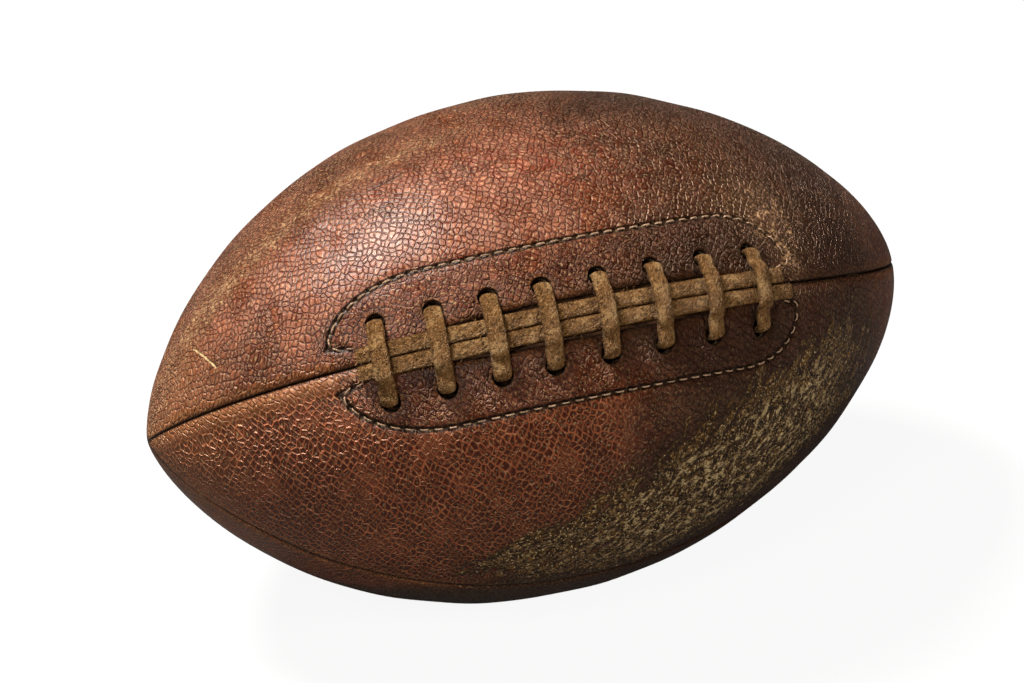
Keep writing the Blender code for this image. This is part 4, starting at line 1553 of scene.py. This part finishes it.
def thong_leather(look):
    """Split leather thong, once oiled and now dry: a brown nap, flecked with dirt and rubbed
    pale and a little shiny on its high places, with fibres drawn along it."""
    made, tree = new_material("split leather thong, dry")
    place = add_node(tree, "ShaderNodeAttribute", attribute_name="thong").outputs["Vector"]
    side = add_node(tree, "ShaderNodeAttribute", attribute_name="side").outputs["Fac"]
    noise = "ShaderNodeTexNoise"
    rich = {"Detail": 5.0, "Roughness": 0.65}
    # Sizes in mm. The nap and its fibres are really under 0.1 mm wide, and are drawn as coarse
    # as they need to be to show
    patterns = {
        "cloud": (noise, 6, 0, 1, rich, {}),
        "crumple": (noise, 1.5, 0.3, 1.2, rich, {}),
        "nap": (noise, 0.7, 0, 1, rich, {}),
        "fibre": (noise, 0.5, 0.6, 2.2, rich, {}),
    }
    masks = {
        "side": ("side", 0, 1),
        "dirty": ("cloud", 0.48, 0.58),
        "rubbed": ("cloud", 0.48, 0.41),
        "crumple": ("crumple", 0.34, 0.66),
        "pit": ("crumple", 0.46, 0.41),
        "nap": ("nap", 0.35, 0.65),
        "fleck": ("nap", 0.44, 0.37),
        "fibre": ("fibre", 0.53, 0.60),
    }
    layers = [
        (look.khaki, 1.0, ""),
        (look.side, 0.38, "dirty"),
        (look.worn, 0.70, "rubbed"),
        (look.worn, 0.85, "fibre"),
        # Dirt and painted shade in the low places of the crumpled thong
        (look.side, 0.70, "pit"),
        (look.fleck, 0.85, "fleck"),
        (look.side, 0.65, "side"),
        ("rough", 0.15, "nap"),
        ("height", 1.00, "crumple"),
        ("height", 0.60, "nap"),
        ("height", 0.10, "fibre"),
    ]
    fill_surface(
        tree,
        place,
        {"side": side},
        patterns,
        {},
        masks,
        layers,
        0.28,
        **{"Specular IOR Level": 0.8, "Specular Tint": linear("#ffd8ae")},
    )
    return made


class FOOTBALL_OT_lacing(bpy.types.Operator):
    """Build the cross lace and the two flat strips under it"""

    bl_idname = "football.lacing"
    bl_label = "Lacing"

    def execute(self, context):
        look = context.scene.football_lacing
        leather = thong_leather(look)
        fray = fray_tree()
        for name, side in (("lace_strip_upper", 1), ("lace_strip_lower", -1)):
            piece = run_tree(
                strip_piece(name, side),
                fray,
                {
                    "Density": look.fibres / STRIP_EDGES,
                    "Length": look.fibre_length,
                    "Thickness": FIBRE_THICKNESS,
                    "Leather": leather,
                },
            )
            hand_over(piece, name)
        piece = lace_piece()
        piece.data.materials.append(leather)
        hand_over(piece, "cross_lace")
        return {"FINISHED"}


# The pieces inside


def inner_material(name, size, stretch, kind, colours, roughness, height, **settings):
    """A material of the inside, patterned by Object coordinates in mm. colours are hex codes
    for its body, its dirt, which also darkens its low places, and its pale places, which are its
    high ones."""
    made, tree = new_material(name)
    patterns = {
        "cloud": ("ShaderNodeTexNoise", 25, 0, 1, {"Detail": 5.0, "Roughness": 0.6}, {}),
        "surface": (kind, size, 0, stretch, {"Detail": 4.0}, settings),
    }
    masks = {
        "soiled": ("cloud", 0.42, 0.62),
        "low": ("surface", 0.5, 0.3),
        "high": ("surface", 0.5, 0.75),
    }
    body, dirt, pale = (linear(code) for code in colours)
    layers = [
        (body, 1.0, ""),
        (dirt, 0.5, "soiled"),
        (dirt, 0.6, "low"),
        (pale, 0.5, "high"),
        ("height", height, "high"),
        ("height", -height, "low"),
    ]
    fill_surface(tree, place_in_mm(tree), {}, patterns, {}, masks, layers, roughness)
    return made


class FOOTBALL_OT_inside(bpy.types.Operator):
    """Give the linings, facings, tongue, bladder and inner threads their materials"""

    bl_idname = "football.inside"
    bl_label = "Inner Pieces"

    def execute(self, context):
        noise, wave = "ShaderNodeTexNoise", "ShaderNodeTexWave"
        # Cotton duck: even threads 0.9 mm apart, matt and dusty
        duck = inner_material(
            "cotton duck, plain weave", 2.9, 1, wave, ("#b8a27c", "#5d4a33", "#cdbb97"), 0.9, 0.08
        )
        # Split leather: a brown fibrous nap without a grain
        split = inner_material(
            "split cowhide, flesh side", 0.7, 2, noise, ("#6d4a30", "#3a2517", "#8e6a48"), 0.85, 0.1
        )
        # Dipped latex, aged to a dull red-brown with fine pores
        rubber = inner_material(
            "latex rubber, dipped", 1.5, 1, noise, ("#864a35", "#5c2e20", "#9a6048"), 0.55, 0.04
        )
        # Waxed linen cord, its strands drawn along the twist
        linen = inner_material(
            "linen cord, waxed", 0.5, 3, noise, ("#8d7a5c", "#4b3a28", "#b39d78"), 0.6, 0.06
        )
        for name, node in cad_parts.items():
            if name.startswith("panel_"):
                continue
            kind = split
            if name.startswith("lining_"):
                kind = duck
            elif name == "bladder":
                kind = rubber
            elif "thread" in name or name == "neck_tie" or "stitches" in name:
                kind = linen
            for slot in node.material_slots:
                slot.material = kind
        return {"FINISHED"}


# The stage


WHITE = (1, 1, 1, 1)
FLOOR_REACH = 4.0
FLOOR_GLOW = 1.08
GLOW_SHARE = 0.84  # of what the eye sees of the floor; the rest is paint that takes the shadow
# Each lamp: where it stands from the ball, how far off, its size and whether gloss shows it
LAMPS = {
    "key": ((-0.36, 0.31, 0.88), 1.1, 0.28, True),
    "side": ((-0.56, -0.52, 0.64), 1.2, 0.35, True),
    "front": ((0.62, -0.70, 0.36), 1.2, 0.30, False),
}
SENSOR_WIDTH = 36
CAMERA_SHIFT = (-0.0211, 0.0047)


def seen_share(tree, mirrored):
    """1 where the eye looks straight at it, and the mirrored share in what gloss or glass shows."""
    ray = add_node(tree, "ShaderNodeLightPath")
    seen = 0.0
    for kind, share in (
        ("Is Glossy Ray", mirrored),
        ("Is Transmission Ray", mirrored),
        ("Is Camera Ray", 1.0),
    ):
        share = add_node(
            tree, "ShaderNodeMath", {0: ray.outputs[kind], 1: share}, operation="MULTIPLY"
        )
        seen = add_node(tree, "ShaderNodeMath", {0: seen, 1: share}, operation="MAXIMUM")
    return seen


def stage_floor(stage):
    """A pale floor: the eye and reflections see it near white, with the ball's soft shadow."""
    made, tree = new_material("painted studio floor")
    seen = seen_share(tree, stage.mirrored)
    # The paint is white to the eye, and throws back little light under the ball
    shades = add_node(
        tree,
        "ShaderNodeMix",
        {"Factor": seen, "A": linear("#585654"), "B": linear("#d6d4d1")},
        data_type="RGBA",
    )
    matt = add_node(tree, "ShaderNodeBsdfDiffuse", {"Color": shades})
    bright = add_node(tree, "ShaderNodeEmission", {"Color": WHITE, "Strength": FLOOR_GLOW})
    glow = add_node(tree, "ShaderNodeMath", {0: seen, 1: GLOW_SHARE}, operation="MULTIPLY")
    surface = add_node(tree, "ShaderNodeMixShader", {0: glow, 1: matt, 2: bright})
    add_node(tree, "ShaderNodeOutputMaterial", {"Surface": surface})
    corners = FLOOR_REACH * np.array([(-1, -1, 0), (1, -1, 0), (1, 1, 0), (-1, 1, 0)])
    floor = new_piece("studio_floor", corners, [[0, 1, 2, 3]])
    floor.data.materials.append(made)


def studio_world(stage):
    """Even light from all round, and white where the eye looks past the floor."""
    world = bpy.data.worlds.new("studio")
    world.use_nodes = True
    tree = world.node_tree
    tree.nodes.clear()
    seen = seen_share(tree, stage.mirrored)
    pale = linear("#f4f4f2")
    around = add_node(tree, "ShaderNodeBackground", {"Color": pale, "Strength": stage.sky})
    white = add_node(tree, "ShaderNodeBackground", {"Color": WHITE, "Strength": 1.0})
    surface = add_node(tree, "ShaderNodeMixShader", {0: seen, 1: around, 2: white})
    add_node(tree, "ShaderNodeOutputWorld", {"Surface": surface})
    return world


def facing_ball(name, data, way, distance):
    """A lamp or camera so far from the ball's middle, turned to face it."""
    made = bpy.data.objects.new(name, data)
    bpy.context.scene.collection.objects.link(made)
    made.location = Vector((0, 0, CENTRE_HEIGHT)) + way * distance
    made.rotation_mode = "QUATERNION"
    made.rotation_quaternion = way.to_track_quat("Z", "Y")
    return made


class FOOTBALL_OT_stage(bpy.types.Operator):
    """Add the pale floor, the soft lamps and the camera"""

    bl_idname = "football.stage"
    bl_label = "Stage"

    def execute(self, context):
        stage = context.scene.football_stage
        scene = context.scene
        stage_floor(stage)
        for name, (way, distance, size, in_gloss) in LAMPS.items():
            lamp = bpy.data.lights.new(name + "_lamp", "AREA")
            lamp.size = size
            lamp.energy = getattr(stage, name)
            made = facing_ball(lamp.name, lamp, Vector(way).normalized(), distance)
            made.visible_glossy = in_gloss
        scene.world = studio_world(stage)
        scene.view_settings.view_transform = "Standard"
        camera = bpy.data.cameras.new("camera")
        camera.lens = stage.lens
        camera.sensor_width = SENSOR_WIDTH
        camera.shift_x, camera.shift_y = CAMERA_SHIFT
        camera.clip_start = 0.01
        turn, rise = stage.azimuth, stage.elevation
        way = Vector(
            (math.sin(turn) * math.cos(rise), -math.cos(turn) * math.cos(rise), math.sin(rise))
        )
        scene.camera = facing_ball("camera", camera, way, stage.distance)
        return {"FINISHED"}


class FOOTBALL_PT_pieces(bpy.types.Panel):
    """Buttons that build the pieces"""

    bl_idname = "FOOTBALL_PT_pieces"
    bl_label = "Worn Laced Football"
    bl_space_type = "VIEW_3D"
    bl_region_type = "UI"
    bl_category = "Football"

    def draw(self, context):
        for operator in OPERATORS:
            self.layout.operator(operator.bl_idname)


SETTINGS = {
    "football_leather": FootballLeather,
    "football_lacing": FootballLacing,
    "football_stage": FootballStage,
}
OPERATORS = (
    FOOTBALL_OT_stage,
    FOOTBALL_OT_panels,
    FOOTBALL_OT_stitches,
    FOOTBALL_OT_lacing,
    FOOTBALL_OT_inside,
)


def register():
    """Adds the classes and the scene's settings."""
    for made in (*SETTINGS.values(), *OPERATORS, FOOTBALL_PT_pieces):
        bpy.utils.register_class(made)
    for name, made in SETTINGS.items():
        setattr(bpy.types.Scene, name, PointerProperty(type=made))


def unregister():
    """Takes them away again."""
    for name in SETTINGS:
        delattr(bpy.types.Scene, name)
    for made in (FOOTBALL_PT_pieces, *reversed(OPERATORS), *reversed(list(SETTINGS.values()))):
        bpy.utils.unregister_class(made)


def main():
    """Builds everything."""
    register()
    bpy.ops.football.stage()
    bpy.ops.football.panels()
    bpy.ops.football.stitches()
    bpy.ops.football.lacing()
    bpy.ops.football.inside()


if __name__ == "__main__":
    main()
